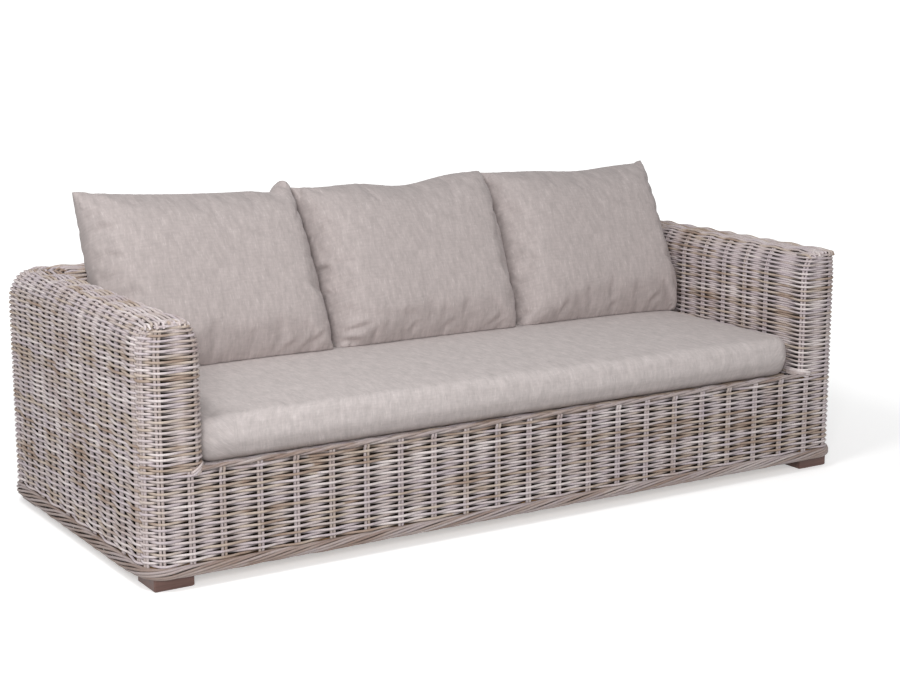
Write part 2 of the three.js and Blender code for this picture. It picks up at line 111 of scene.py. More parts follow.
# Borders that wind along the bottom of the weave and the top of the apron
border_strands = 9
border_strand_radius = 0.0036
border_lay = 0.50
border_inset = 0.0055
border_half_depth = 0.0072
border_sag = 0.0100
border_sag_reach = (0.02, 0.20)
border_wander = 0.24
rope_wander = 0.14
rope_slack, slack_scales, width_scales = 0.035, (4.0, 7.1), (9.0, 0.8)
rope_joint_step, rope_joint_length = 0.37, 1.3
apron_border_strands = 4
apron_border_bundles = 2
apron_border_strand_radius = 0.0034
apron_border_half_depth = 0.0066
apron_border_half_height = 0.0046
apron_border_lean = math.radians(40)
apron_border_bundling = 0.50
apron_border_drop = 0.0045
apron_border_past_arm = 0.038
apron_border_inset = 0.009
skirt_top = apron_border_low - apron_border_drop

# The ends of the apron's stakes, which come forward into its border
stake_rise = 0.003
apron_stake_ends = (skirt_top - 0.001, skirt_top + 0.006)

# The woven deck under the seat cushion
deck_pitch = 0.0102
deck_strand_radius = 0.0048
deck_stake_pitch = 0.098
deck_marks = 22
deck_weave_depth = 0.0040
deck_inset = 0.0095

# The seat cushion: a long boxed cushion with rounded edges and a crowned top
seat_edge_height = 0.117
seat_crown = 0.010
seat_corner = 0.054
seat_edge_round = 0.033
seat_bottom_round = 0.031
seat_side_bulge = 0.006
seat_edge_share, seat_bottom_share = 0.36, 0.24
seat_grid, seat_spread = (138, 58, 22), (0.10, 0.22)
seat_front_give = 0.01
seat_give = 0.004
seat_fill = 0.9

# The back cushions: knife-edged pillows that lean back on the wall
pillow_pitch = 0.655
pillow_seams = ((-0.292, -0.316), (0.354, 0.366))
pillow_seam_gap = 0.0013
pillow_outer_gap = 0.0040
pillow_half_height = 0.2700
pillow_half_thickness = 0.113
pillow_lean = math.radians(25)
pillow_seam_back = 0.114
pillow_sink = 0.024
pillow_draw_side = 0.009
pillow_draw_end = 0.008
# Reach over the arms and squareness of the sides, as (place up the cushion from -1 to 1, value)
pillow_over_arm = {-1: ((0.0, 0.0), (0.7, 0.0), (1.0, 0.007)),
                   1: ((0.0, 0.0), (0.25, 0.0035), (0.5, 0.0124), (0.75, 0.0218), (1.0, 0.035))}
pillow_outer_power = {-1: ((-1.0, 16), (1.0, 16)), 0: ((-1.0, 12), (1.0, 12)),
                      1: ((-1.0, 34), (0.0, 22), (0.5, 11), (1.0, 7))}
pillow_grid = (96, 82)
pillow_top_power = 3.2
pillow_foot_power = 4.2
pillow_left_power = 5.5
pillow_right_power = 13
knob_thickness = 0.014
knob_widest, knob_pointed = 0.2, 0.1
knob_rise_power, knob_thick_power = 14, 6
knob_end_power, knob_side_power = 40, 60
pillow_seam_from, pillow_seam_band = 0.985, 0.01
pillow_give, pillow_slack, pillow_pressure = 0.014, -0.025, 3.0
pillow_fill = 0.75
rest_gap = 0.0006

# Points along each stretch of a row
SIDE, BACK, TURN, NOSE, FLAT, FRONT_END = 62, 152, 8, 8, 2, 10
INNER_SIDE, INNER_BACK = 56, 140
front_end_crowding, slope_step = 1.6, 0.0005
shoulder_steps, wrap_points, apron_points, deck_points = 60, 40, 240, 120

# Which parts of a run make up each piece
skirt_shares = {"arm_left": (7, 0, 1), "back_outside": (2,), "arm_right": (3, 4, 5), "apron": (6,)}
wall_shares = {"arm_left": (11, 12, 13, 14, 15, 0, 1), "back_outside": (2,),
               "arm_right": (3, 4, 5, 6, 7, 8, 9), "back_inside": (10,)}
top_shares = {"arm_left": (0, 1, 2), "back_top": (3,), "arm_right": (4, 5, 6)}
border_shares = {"left": (7, 0, 1), "back": (2,), "right": (3, 4, 5), "front": (6,)}


def clamp(value, low, high):
    return max(low, min(high, value))


# guides that the weave follows
class Run:
    """A line on the woven skin, seen from above, with the way out of the skin and the stakes it meets.

    The way out is on the left of the line. "front" is how far a point belongs to an arm's front.
    """

    def __init__(self):
        self.parts = []
        self.marks = []
        self.length = 0.0

    def add(self, points, out, size, front=(0.0, 0.0), **more):
        along = self.length + np.linspace(0, size, len(points))
        lean = np.linspace(front[0], front[1], len(points))
        self.parts.append({"points": points, "out": out, "along": along, "front": lean, **more})
        self.length += size

    def line(self, start, end, count, marks=(), front=0.0):
        start, end = np.array(start, float), np.array(end, float)
        size = float(np.hypot(*(end - start)))
        way = (end - start) / max(size, 1e-9)
        self.marks += [self.length + float((np.array(place) - start) @ way) for place in marks]
        points = start + (end - start) * np.linspace(0, 1, count + 1)[:, None]
        self.add(points, np.tile([-way[1], way[0]], (count + 1, 1)), size, (front, front))

    def arc(self, centre, radius, first, last, count, shares=(), front=(0.0, 0.0)):
        angle = np.radians(np.linspace(first, last, count + 1))
        rays = np.stack([np.cos(angle), np.sin(angle)], 1)
        size = abs(math.radians(last - first)) * radius
        self.marks += [self.length + share * size for share in shares]
        self.add(np.array(centre) + rays * radius, rays if last < first else -rays, size, front)

    def front_end(self, x, offset, height, forward):
        """The end of a top row, which bends down over the front of an arm to the last row round it."""
        near = front_reach(offset, wall_levels()[-1][1] - row_tuck)
        fronts = near + (corner_radius - near) * np.linspace(0, 1, FRONT_END + 1) ** front_end_crowding
        step = slope_step
        rise = np.array([skin_height(offset, f) for f in fronts])
        across = np.array([skin_height(offset + step, f) for f in fronts]) - rise
        along = np.array([skin_height(offset, f + step) for f in fronts]) - rise
        way = -1.0 if x < 0 else 1.0
        solid = np.column_stack([way * across / step, -along / step, np.ones(FRONT_END + 1)])
        solid /= np.linalg.norm(solid, axis=1)[:, None]
        points = np.column_stack([np.full(FRONT_END + 1, x), fronts - half_depth])
        drop = height - rise
        size = float(np.hypot(corner_radius - near, drop[0]))
        if not forward:
            points, solid, drop = points[::-1], solid[::-1], drop[::-1]
        self.add(points, solid[:, :2], size, solid=solid, drop=drop)

    def round_the_back(self, x, y, front, radius):
        """Back along the left arm, across the back and forward along the right arm."""
        self.line((-x, front), (-x, y - radius), SIDE, [(-x, s) for s in side_stakes])
        self.arc((radius - x, y - radius), radius, 180, 90, TURN, corner_shares)
        self.line((radius - x, y), (x - radius, y), BACK, [(s, y) for s in back_stakes])
        self.arc((x - radius, y - radius), radius, 90, 0, TURN, corner_shares)
        self.line((x, y - radius), (x, front), SIDE, [(x, s) for s in side_stakes[::-1]])


def turn_radius(offset):
    """Radius in plan of the back corners, at an offset from the inner faces of the wall."""
    return inner_corner_radius + (corner_radius - inner_corner_radius) * offset / wall


def shoulder(turn):
    """How far in and how high the skin is at a turn of the shoulder, and how far it faces up."""
    across = shoulder_across * (1 - math.cos(turn))
    height = arm_top - shoulder_drop * (1 - math.sin(turn))
    tilt = math.atan2(shoulder_across * math.sin(turn), shoulder_drop * math.cos(turn))
    return across, height, tilt


def front_lip(height):
    """How far an arm's front is drawn in at a height, and how far it faces up there."""
    rise = clamp((height - (arm_top - lip)) / lip, 0.0, 0.999)
    return lip * (1 - math.sqrt(1 - rise * rise)), math.asin(rise)


def halved(high, is_below):
    """Halves the stretch from 0 to high round the number at which a test stops being true."""
    low = 0.0
    for _ in range(24):
        middle = (low + high) / 2
        low, high = (middle, high) if is_below(middle) else (low, middle)
    return low, high


def skin_height(offset, front):
    """Height of an arm's skin at a distance out from its inner face and back from its front."""
    inward = min(offset, wall - offset)
    tightest = inner_nose_radius if offset < wall / 2 else corner_radius

    def inside(turn):
        across, height, _ = shoulder(turn)
        x, y = inward - across, front - front_lip(height)[0]
        nose = min(corner_radius - across, tightest)
        return x >= 0 and y >= 0 and max(nose - x, 0.0) ** 2 + max(nose - y, 0.0) ** 2 <= nose * nose

    return shoulder(sum(halved(math.pi / 2, inside)) / 2)[1]


def front_reach(offset, height):
    """How far back from an arm's front its skin reaches a height."""
    return halved(corner_radius, lambda front: skin_height(offset, front) < height)[1]


def outer_run(inset, front_in):
    """From the front of the left arm round the back to the front of the right arm."""
    run = Run()
    nose = corner_radius - inset
    x, y = half_width - inset, half_depth - inset
    start = -half_depth + front_in + nose
    run.round_the_back(x, y, start, turn_radius(wall - inset))
    run.arc((x - nose, start), nose, 0, -90, NOSE, front_outer_shares, (0.0, 1.0))
    return run


def end_at_left_front(run, inset, front_in):
    nose = corner_radius - inset
    shares = [1 - s for s in front_outer_shares[::-1]]
    centre = (nose + inset - half_width, -half_depth + front_in + nose)
    run.arc(centre, nose, -90, -180, NOSE, shares, (1.0, 0.0))
    return run


def skirt_run():
    """Once round the footprint, below the top of the apron."""
    run = outer_run(0.0, 0.0)
    reach, y = half_width - corner_radius, -half_depth
    run.line((reach, y), (-reach, y), BACK, [(s, y) for s in apron_stakes[::-1]], 1.0)
    return end_at_left_front(run, 0.0, 0.0)


def wall_run(inset, front_in):
    """Once round the walls: their outside, the right arm's front, their inside and the left arm's front."""
    run = outer_run(inset, front_in)
    nose = min(corner_radius - inset, inner_nose_radius)
    y = -half_depth + front_in
    start = y + nose
    near, rear = arm_inner + inset, back_inner + inset
    radius = turn_radius(inset)
    reach = near - radius
    outer_x, inner_x = half_width - corner_radius, near + nose
    inner_side, inner_back = side_stakes[1:8], back_stakes[1:20][::-1]
    run.line((outer_x, y), (inner_x, y), FLAT, (), 1.0)
    run.arc((inner_x, start), nose, -90, -180, NOSE, front_inner_shares, (1.0, 0.0))
    run.line((near, start), (near, rear - radius), INNER_SIDE, [(near, s) for s in inner_side])
    run.arc((reach, rear - radius), radius, 0, 90, TURN)
    run.line((reach, rear), (-reach, rear), INNER_BACK, [(s, rear) for s in inner_back])
    run.arc((-reach, rear - radius), radius, 90, 180, TURN)
    run.line((-near, rear - radius), (-near, start), INNER_SIDE, [(-near, s) for s in inner_side[::-1]])
    run.arc((-inner_x, start), nose, 0, -90, NOSE, [1 - s for s in front_inner_shares[::-1]], (0.0, 1.0))
    run.line((-inner_x, y), (-outer_x, y), FLAT, (), 1.0)
    return end_at_left_front(run, inset, front_in)


def top_run(offset, height):
    """Along the top of the left arm, round the back corners and along the right arm."""
    run = Run()
    x, y, front = arm_inner + offset, back_inner + offset, -half_depth + corner_radius
    run.front_end(-x, offset, height, True)
    run.round_the_back(x, y, front, turn_radius(offset))
    run.front_end(x, offset, height, False)
    return run


def lifted(run, height, side_tilt, front_tilt=0.0, closed=True):
    """Puts a run at its height. A tilt past a quarter turn faces the other way."""
    first, last = run.marks[-1] - run.length, run.marks[0] + run.length
    if not closed:
        first, last = 2 * run.marks[0] - run.marks[1], 2 * run.marks[-1] - run.marks[-2]
    marks = [first, *run.marks, last]
    parts = []
    for part in run.parts:
        tilt = side_tilt + (front_tilt - side_tilt) * part["front"]
        out = np.column_stack([part["out"] * np.cos(tilt)[:, None], np.sin(tilt)])
        points = np.column_stack([part["points"], height - part.get("drop", np.zeros(len(tilt)))])
        along = part["along"]
        phase = np.interp(along, marks, np.arange(-1, len(marks) - 1))
        parts.append({"points": points, "out": part.get("solid", out), "along": along, "phase": phase})
    return parts


def joined(parts, row, late, size, count):
    """One guide line out of neighbouring parts. The last "late" parts come after a whole turn of the run."""
    made = {"row": row}
    for key, shift in (("points", 0), ("out", 0), ("along", size), ("phase", count)):
        shifts = [0] * (len(parts) - late) + [shift] * late
        pieces = [part[key] + by for part, by in zip(parts, shifts)]
        made[key] = np.concatenate([pieces[0]] + [piece[1:] for piece in pieces[1:]])
    return made


def add_row(made, shares, run, parts, row):
    """Adds a row's guide to each piece that it crosses. A share names the parts of the run in a piece."""
    for name, share in shares.items():
        late = sum(index < share[0] for index in share)
        line = joined([parts[index] for index in share], row, late, run.length, len(run.marks))
        made.setdefault(name, []).append(line)


def skirt_guides():
    """Rows from the bottom border to the apron's border, by the piece that they belong to."""
    made, run = {}, skirt_run()
    count = round((skirt_top - border_high) / skirt_pitch)
    for row in range(count):
        height = border_high + (row + 0.5) * (skirt_top - border_high) / count
        add_row(made, skirt_shares, run, lifted(run, height, 0.0), row)
    return made


def shoulder_turns():
    """Turns of the shoulder at which rows still go right round the walls."""
    turns = [0.5 * wall_pitch / shoulder_drop]
    while turns[-1] < loop_end_turn:
        way = shoulder_across * math.sin(turns[-1]), shoulder_drop * math.cos(turns[-1])
        turns.append(turns[-1] + wall_pitch / math.hypot(*way))
    return turns[:-1]


def wall_levels():
    """(inset, height, tilt) of each row that goes right round the walls."""
    rise = arm_top - shoulder_drop - skirt_top
    count = round(rise / wall_pitch)
    flat = [(0.0, skirt_top + (row + 0.5) * rise / count, 0.0) for row in range(count)]
    return flat + [shoulder(turn) for turn in shoulder_turns()]


def wall_row(inset, height, tilt):
    front_in, front_tilt = front_lip(height)
    run = wall_run(inset, front_in)
    return run, lifted(run, height, tilt, front_tilt)


def top_row(across, height, tilt):
    run = top_run(wall - across, height)
    return run, lifted(run, height, tilt, closed=False)


def row_guides(make, levels, shares, first_row):
    """The guides of these rows, by the piece that they belong to."""
    made = {}
    for row, level in enumerate(levels, first_row):
        add_row(made, shares, *make(*level), row)
    return made


def top_profile():
    """(inset from the outside, height, tilt) of each row of the top, from the outer shoulder to the inner."""
    turns = np.linspace(shoulder_turns()[-1], math.pi / 2, shoulder_steps)
    outer = [shoulder(turn) for turn in turns]
    inner = [(wall - across, height, math.pi - tilt) for across, height, tilt in outer[::-1]]
    profile = np.array(outer + inner)
    way = np.concatenate([[0], np.cumsum(np.hypot(*np.diff(profile[:, :2], axis=0).T))])
    count = int(round(way[-1] / wall_pitch))
    places = way[-1] * np.arange(1, count) / count
    return np.array([np.interp(places, way, profile[:, k]) for k in range(3)]).T


def at_marks(run, parts):
    """Where the stakes cross a row, and the way out of the skin there."""
    along = np.concatenate([part["along"] for part in parts])
    points = np.concatenate([part["points"] for part in parts])
    out = np.concatenate([part["out"] for part in parts])
    columns = [np.interp(run.marks, along, values) for values in (*points.T, *out.T)]
    table = np.array(columns).T
    return table[:, :3], table[:, 3:]


def stake_levels():
    """For each row of the skirt, the walls and the top, the places of its stakes."""
    run = skirt_run()
    heights = np.arange(border_high - strand_radius, skirt_top, stake_every * skirt_pitch)
    skirt_levels = [at_marks(run, lifted(run, height, 0.0)) for height in heights]
    upright = sum(tilt == 0.0 for _, _, tilt in wall_levels())
    chosen = wall_levels()[:upright:stake_every] + wall_levels()[upright:]
    wall_rows = [at_marks(*wall_row(*level)) for level in chosen]
    top_rows = [at_marks(*top_row(*level)) for level in top_profile()]
    return skirt_levels, wall_rows, top_rows


def inner_mark(outer):
    """The mark on the inside of a wall of the stake that goes over the top from an outer mark."""
    side_last, back_first = len(side_stakes) - 1, len(side_stakes) + 2
    back_last = back_first + len(back_stakes) - 1
    right_first = back_last + 3
    inner_first = right_first + len(side_stakes) + 3
    if 0 < outer < side_last:
        return inner_first + len(side_stakes) - 2 + len(back_stakes) - 2 + side_last - 1 - outer
    if back_first < outer < back_last:
        return inner_first + len(side_stakes) - 2 + back_last - 1 - outer
    if right_first < outer < right_first + side_last:
        return inner_first + right_first + side_last - 1 - outer
    return None


def stake_line(places, row):
    points, out = (np.array([place[k] for place in places]) for k in (0, 1))
    along = np.concatenate([[0], np.cumsum(np.linalg.norm(np.diff(points, axis=0), axis=1))])
    return {"points": points, "out": out, "along": along, "phase": along, "row": row}


def stake_guides():
    """Stakes that rise from the bottom border and go over the top to the inside, by piece."""
    skirt_levels, wall_rows, top_rows = stake_levels()
    made = {"arm_left": [], "arm_right": [], "back": [], "apron": []}
    outer_count = 2 * len(side_stakes) + 4 + len(back_stakes)
    back_first = len(side_stakes) + 2

    def at(levels, mark):
        return [(points[mark], out[mark]) for points, out in levels]

    for mark in range(outer_count):
        line = at(skirt_levels, mark) + at(wall_rows, mark)
        inner = inner_mark(mark)
        if inner is None:
            line += at(top_rows[:len(top_rows) // 2], mark)
        else:
            line += at(top_rows, mark) + at(wall_rows[::-1], inner)
        key = "arm_left" if mark < back_first else "arm_right"
        key = "back" if back_first <= mark < back_first + len(back_stakes) else key
        made[key].append(stake_line(line, mark))
    wall_marks = len(wall_rows[0][0])
    skirt_marks = len(skirt_levels[0][0])
    for mark in range(outer_count, skirt_marks):
        in_apron = outer_count + 2 <= mark < skirt_marks - 2
        line = at(skirt_levels, mark)
        if not in_apron:
            line += at(wall_rows, mark if mark < outer_count + 2 else mark - skirt_marks + wall_marks)
        if in_apron:
            points, out = line[-1]
            line += [(points * (1, 1, 0) + (0, -stake_rise, height), out) for height in apron_stake_ends]
        key = "apron" if in_apron else "arm_right" if mark < outer_count + 2 else "arm_left"
        made[key].append(stake_line(line, mark))
    for key, mark in (("arm_right", outer_count + 2), ("arm_left", wall_marks - 3)):
        made[key].append(stake_line(at(wall_rows, mark), mark))
    return made


def border_guides():
    """The line round the footprint that the bottom border winds on, by side."""
    made, run = {}, skirt_run()
    add_row(made, border_shares, run, lifted(run, (border_low + border_high) / 2, 0.0), 0)
    near, far = border_sag_reach
    for line, in made.values():
        line["points"] = line["points"] - line["out"] * border_inset
        share = np.clip((line["points"][:, 1] + half_depth - near) / (far - near), 0, 1)
        sag = border_sag * share * share * (3 - 2 * share)
        line["points"][:, 2] -= sag / 2
        line["swell"] = 1 + sag / (border_high - border_low)
    return made


def straight_guides(starts, ends, out, marks, count):
    """Straight rows from start to end, with stakes at these distances."""
    made = []
    for row, (start, end) in enumerate(zip(starts, ends)):
        share = np.linspace(0, 1, count + 1)
        points = np.array(start) + (np.array(end) - np.array(start)) * share[:, None]
        along = share * np.linalg.norm(np.array(end) - np.array(start))
        phase = np.interp(along, marks, np.arange(len(marks)))
        made.append({"points": points, "out": np.tile(out, (count + 1, 1)), "along": along,
                     "phase": phase, "row": row})
    return made


# small makers of meshes and node trees
def mesh_object(name, points, edges=(), faces=()):
    mesh = bpy.data.meshes.new(name)
    mesh.from_pydata([tuple(p) for p in points], list(edges), list(faces))
    made = bpy.data.objects.new(name, mesh)
    bpy.context.scene.collection.objects.link(made)
    return made


def grid_faces(rows, columns, start, flip=False):
    faces = []
    for j in range(rows):
        for i in range(columns):
            a = start + j * (columns + 1) + i
            face = (a, a + 1, a + columns + 2, a + columns + 1)
            faces.append(face[::-1] if flip else face)
    return faces


def attribute(made, name, kind, values):
    layer = made.data.attributes.new(name, kind, "POINT")
    key = "vector" if kind == "FLOAT_VECTOR" else "value"
    layer.data.foreach_set(key, np.asarray(values, np.float32).ravel())


def guide_object(name, lines):
    """A mesh of edges that holds the guide lines, with what the trees need to know at each point."""
    edges, start = [], 0
    for line in lines:
        count = len(line["points"])
        edges += [(start + k, start + k + 1) for k in range(count - 1)]
        start += count
    made = mesh_object(name, np.concatenate([line["points"] for line in lines]), edges)
    ways = []
    for line in lines:
        tangent = np.gradient(line["points"], axis=0)
        way = np.cross(line["out"], tangent)
        size = np.maximum(np.linalg.norm(way, axis=1), 1e-9) / line.get("swell", 1.0)
        ways.append(way / size[:, None])
    attribute(made, "out", "FLOAT_VECTOR", np.concatenate([line["out"] for line in lines]))
    attribute(made, "beside", "FLOAT_VECTOR", np.concatenate(ways))
    for label in ("along", "phase", "row"):
        values = [np.broadcast_to(line[label], len(line["points"])) for line in lines]
        attribute(made, label, "FLOAT", np.concatenate(values))
    return made


def put(tree, value, socket):
    """Sets a socket, or links it to another. None leaves it as it is."""
    if isinstance(value, bpy.types.NodeSocket):
        tree.links.new(value, socket)
    elif value is not None:
        socket.default_value = value


class Tree:
    """A geometry node tree with named inputs."""

    def __init__(self, name, inputs):
        self.tree = bpy.data.node_groups.new(name, "GeometryNodeTree")
        face = self.tree.interface
        face.new_socket("Geometry", in_out="INPUT", socket_type="NodeSocketGeometry")
        for label, kind in inputs.items():
            face.new_socket(label, in_out="INPUT", socket_type="NodeSocket" + kind)
        face.new_socket("Geometry", in_out="OUTPUT", socket_type="NodeSocketGeometry")
        self.entry = self.tree.nodes.new("NodeGroupInput")
        self.exit = self.tree.nodes.new("NodeGroupOutput")

    def given(self, label):
        return self.entry.outputs[label]

    def node(self, kind, *values, output=0, **settings):
        """A node whose first enabled inputs take these values or links. None leaves one as it is."""
        made = self.tree.nodes.new(kind)
        for key, value in settings.items():
            setattr(made, key, value)
        sockets = [s for s in made.inputs if s.enabled]
        for socket, value in zip(sockets, values):
            put(self.tree, value, socket)
        return [s for s in made.outputs if s.enabled][output]

    def math(self, operation, *values):
        return self.node("ShaderNodeMath", *values, operation=operation)

    def scaled(self, name, amount):
        """A stored direction times an amount."""
        made = self.tree.nodes.new("ShaderNodeVectorMath")
        made.operation = "SCALE"
        put(self.tree, self.read(name, "FLOAT_VECTOR"), made.inputs["Vector"])
        put(self.tree, amount, made.inputs["Scale"])
        return made.outputs["Vector"]

    def read(self, name, kind="FLOAT"):
        return self.node("GeometryNodeInputNamedAttribute", name, data_type=kind)

    def noise(self, along, across, along_scale, across_scale):
        """Smooth noise from -1 to 1 that runs with the weave."""
        place = self.node(
            "ShaderNodeCombineXYZ",
            self.math("MULTIPLY", along, along_scale), self.math("MULTIPLY", across, across_scale), None,
        )
        drawn = self.node("ShaderNodeTexNoise", place, 1.0, 1.0)
        return self.math("MULTIPLY_ADD", drawn, 2.0, -1.0)

    def store(self, geometry, name, value):
        return self.node("GeometryNodeStoreNamedAttribute", geometry, None, name, value,
                         data_type="FLOAT", domain="POINT")

    def copies(self, amount):
        """Copies of each guide as curves, and the number of each copy."""
        made = self.tree.nodes.new("GeometryNodeDuplicateElements")
        made.domain = "SPLINE"
        put(self.tree, self.node("GeometryNodeMeshToCurve", self.given("Geometry")), made.inputs["Geometry"])
        put(self.tree, amount, made.inputs["Amount"])
        return made.outputs["Geometry"], made.outputs["Duplicate Index"]

    def moved(self, geometry, outwards, sideways):
        """Moves points out of the skin and beside their own line."""
        way = self.node("ShaderNodeVectorMath", self.scaled("out", outwards), self.scaled("beside", sideways))
        return self.node("GeometryNodeSetPosition", geometry, None, None, way)

    def chance(self, number):
        """A random value from 0 to 1 for each whole number."""
        return self.node("FunctionNodeRandomValue", None, None, number, self.given("Seed"), data_type="FLOAT")

    def tubes(self, line, radius, scale=1.0):
        """Closed round tubes along curves."""
        ring = self.node("GeometryNodeCurvePrimitiveCircle", self.given("Sides"), radius)
        tube = self.node("GeometryNodeCurveToMesh", line, ring, scale, True)
        return self.node("GeometryNodeSetShadeSmooth", tube)

    def finish(self, geometry):
        real = self.node("GeometryNodeRealizeInstances", geometry)
        done = self.node("GeometryNodeSetMaterial", real, None, self.given("Material"))
        self.tree.links.new(done, self.exit.inputs["Geometry"])
        return self.tree


def grown(guide, tree, name, values):
    """Runs a tree on a guide and returns its result as a plain mesh object."""
    modifier = guide.modifiers.new("grow", "NODES")
    modifier.node_group = tree
    for item in tree.interface.items_tree:
        if item.item_type == "SOCKET" and item.in_out == "INPUT" and item.name in values:
            modifier[item.identifier] = values[item.name]
    bpy.context.view_layer.update()
    shown = guide.evaluated_get(bpy.context.evaluated_depsgraph_get())
    mesh = bpy.data.meshes.new_from_object(shown)
    mesh.name = name
    made = bpy.data.objects.new(name, mesh)
    bpy.context.scene.collection.objects.link(made)
    bpy.data.objects.remove(guide)
    return made


def strand_tree():
    """Strands that pass in front of one stake pair and behind the next, row about with their neighbours."""
    t = Tree("woven_strands", {
        "Strand radius": "Float", "Weave depth": "Float", "Inset": "Float", "Wander": "Float",
        "Thickness spread": "Float", "Strand length": "Float", "Calm on top": "Float", "Sides": "Int",
        "Seed": "Int", "Material": "Material",
    })
    along, phase, line = t.read("along"), t.read("phase"), t.read("row")
    wave = t.math("COSINE", t.math("MULTIPLY", t.math("ADD", phase, line), math.pi))
    steep = t.math("POWER", t.math("ABSOLUTE", wave), wave_power)
    wave = t.math("MULTIPLY", wave, steep)
    sway = t.noise(along, line, *sway_scales)
    lift = t.noise(along, line, *lift_scales)
    facing_up = t.node("ShaderNodeSeparateXYZ", t.read("out", "FLOAT_VECTOR"), output=2)
    calm = t.math("MULTIPLY", t.math("MULTIPLY", facing_up, facing_up), t.given("Calm on top"))
    depth = t.math("MULTIPLY", t.given("Weave depth"), t.math("SUBTRACT", 1.0, calm))
    rise = t.math("MULTIPLY_ADD", wave, depth, t.math("MULTIPLY", lift, t.given("Wander")))
    rise = t.math("SUBTRACT", rise, t.given("Inset"))
    moved = t.moved(t.given("Geometry"), rise, t.math("MULTIPLY", sway, t.given("Wander")))
    # The wave is kept as the lift, which the rattan uses to paint shade on the strands where they lie behind
    # the stakes
    moved = t.store(moved, "lift", wave)
    start = t.math("FRACT", t.math("MULTIPLY", line, joint_step))
    share = t.math("DIVIDE", along, t.given("Strand length"))
    part = t.math("FLOOR", t.math("ADD", share, t.math("MULTIPLY", start, joint_spread)))
    moved = t.store(moved, "tone", t.chance(t.math("MULTIPLY_ADD", line, row_draws, part)))
    swell = t.math("MULTIPLY_ADD", t.noise(along, line, *swell_scales), t.given("Thickness spread"), 1.0)
    curve = t.node("GeometryNodeMeshToCurve", moved)
    return t.finish(t.tubes(curve, t.given("Strand radius"), swell))


def stake_tree():
    """Pairs of straight stakes that stand behind every other strand."""
    t = Tree("stake_pairs", {
        "Stake radius": "Float", "Pair gap": "Float", "Inset": "Float", "Sides": "Int", "Seed": "Int",
        "Material": "Material",
    })
    pair, index = t.copies(2)
    aside = t.math("MULTIPLY", t.math("SUBTRACT", index, 0.5), t.given("Pair gap"))
    moved = t.moved(pair, t.math("MULTIPLY", t.given("Inset"), -1.0), aside)
    tone = t.chance(t.math("MULTIPLY_ADD", index, stake_draws, t.read("row")))
    moved = t.store(moved, "tone", t.math("MULTIPLY_ADD", tone, *stake_tone))
    # Stakes keep a lift at which the rattan paints no shade on them
    moved = t.store(moved, "lift", stake_lift)
    return t.finish(t.tubes(moved, t.given("Stake radius")))


def rope_tree():
    """Strands that wind round a guide, as the borders of the weave do."""
    t = Tree("wound_border", {
        "Strands": "Float", "Bundles": "Float", "Bundling": "Float", "Strand radius": "Float",
        "Half height": "Float", "Half depth": "Float", "Lay": "Float", "Lean": "Float", "Start": "Float",
        "Wander": "Float", "Sides": "Int", "Seed": "Int", "Material": "Material",
    })
    lines, index = t.copies(t.given("Strands"))
    along = t.read("along")
    each = t.math("DIVIDE", t.given("Strands"), t.given("Bundles"))
    bundle = t.math("FLOOR", t.math("DIVIDE", t.math("ADD", index, 0.01), each))
    within = t.math("DIVIDE", t.math("SUBTRACT", index, t.math("MULTIPLY", bundle, each)), each)
    place = t.math("DIVIDE", t.math("MULTIPLY_ADD", within, t.given("Bundling"), bundle), t.given("Bundles"))
    share = t.math("ADD", t.math("DIVIDE", along, t.given("Lay")), t.math("ADD", place, t.given("Start")))
    loose = t.noise(along, index, *slack_scales)
    angle = t.math("MULTIPLY", t.math("MULTIPLY_ADD", loose, rope_slack, share), 2 * math.pi)
    wide = t.math("MULTIPLY_ADD", t.noise(along, index, *width_scales), t.given("Wander"), 1.0)
    facing = t.math("COSINE", t.math("ADD", angle, t.given("Lean")))
    deep = t.math("MULTIPLY", facing, t.math("MULTIPLY", wide, t.given("Half depth")))
    high = t.math("MULTIPLY", t.math("SINE", angle), t.math("MULTIPLY", wide, t.given("Half height")))
    moved = t.moved(lines, deep, high)
    length = t.math("DIVIDE", along, rope_joint_length)
    part = t.math("FLOOR", t.math("MULTIPLY_ADD", index, rope_joint_step, length))
    moved = t.store(moved, "tone", t.chance(t.math("MULTIPLY_ADD", index, rope_draws, part)))
    moved = t.store(moved, "row", index)
    # The facing is kept as the lift, which the rattan uses to paint shade on the border strands where they
    # turn inward
    moved = t.store(moved, "lift", facing)
    return t.finish(t.tubes(moved, t.given("Strand radius")))


# materials
def srgb(red, green, blue):
    """A screen colour, 0 to 255, as the linear colour that a shader takes."""
    shares = [value / 255 for value in (red, green, blue)]
    return tuple(s / 12.92 if s <= 0.04045 else ((s + 0.055) / 1.055) ** 2.4 for s in shares) + (1.0,)


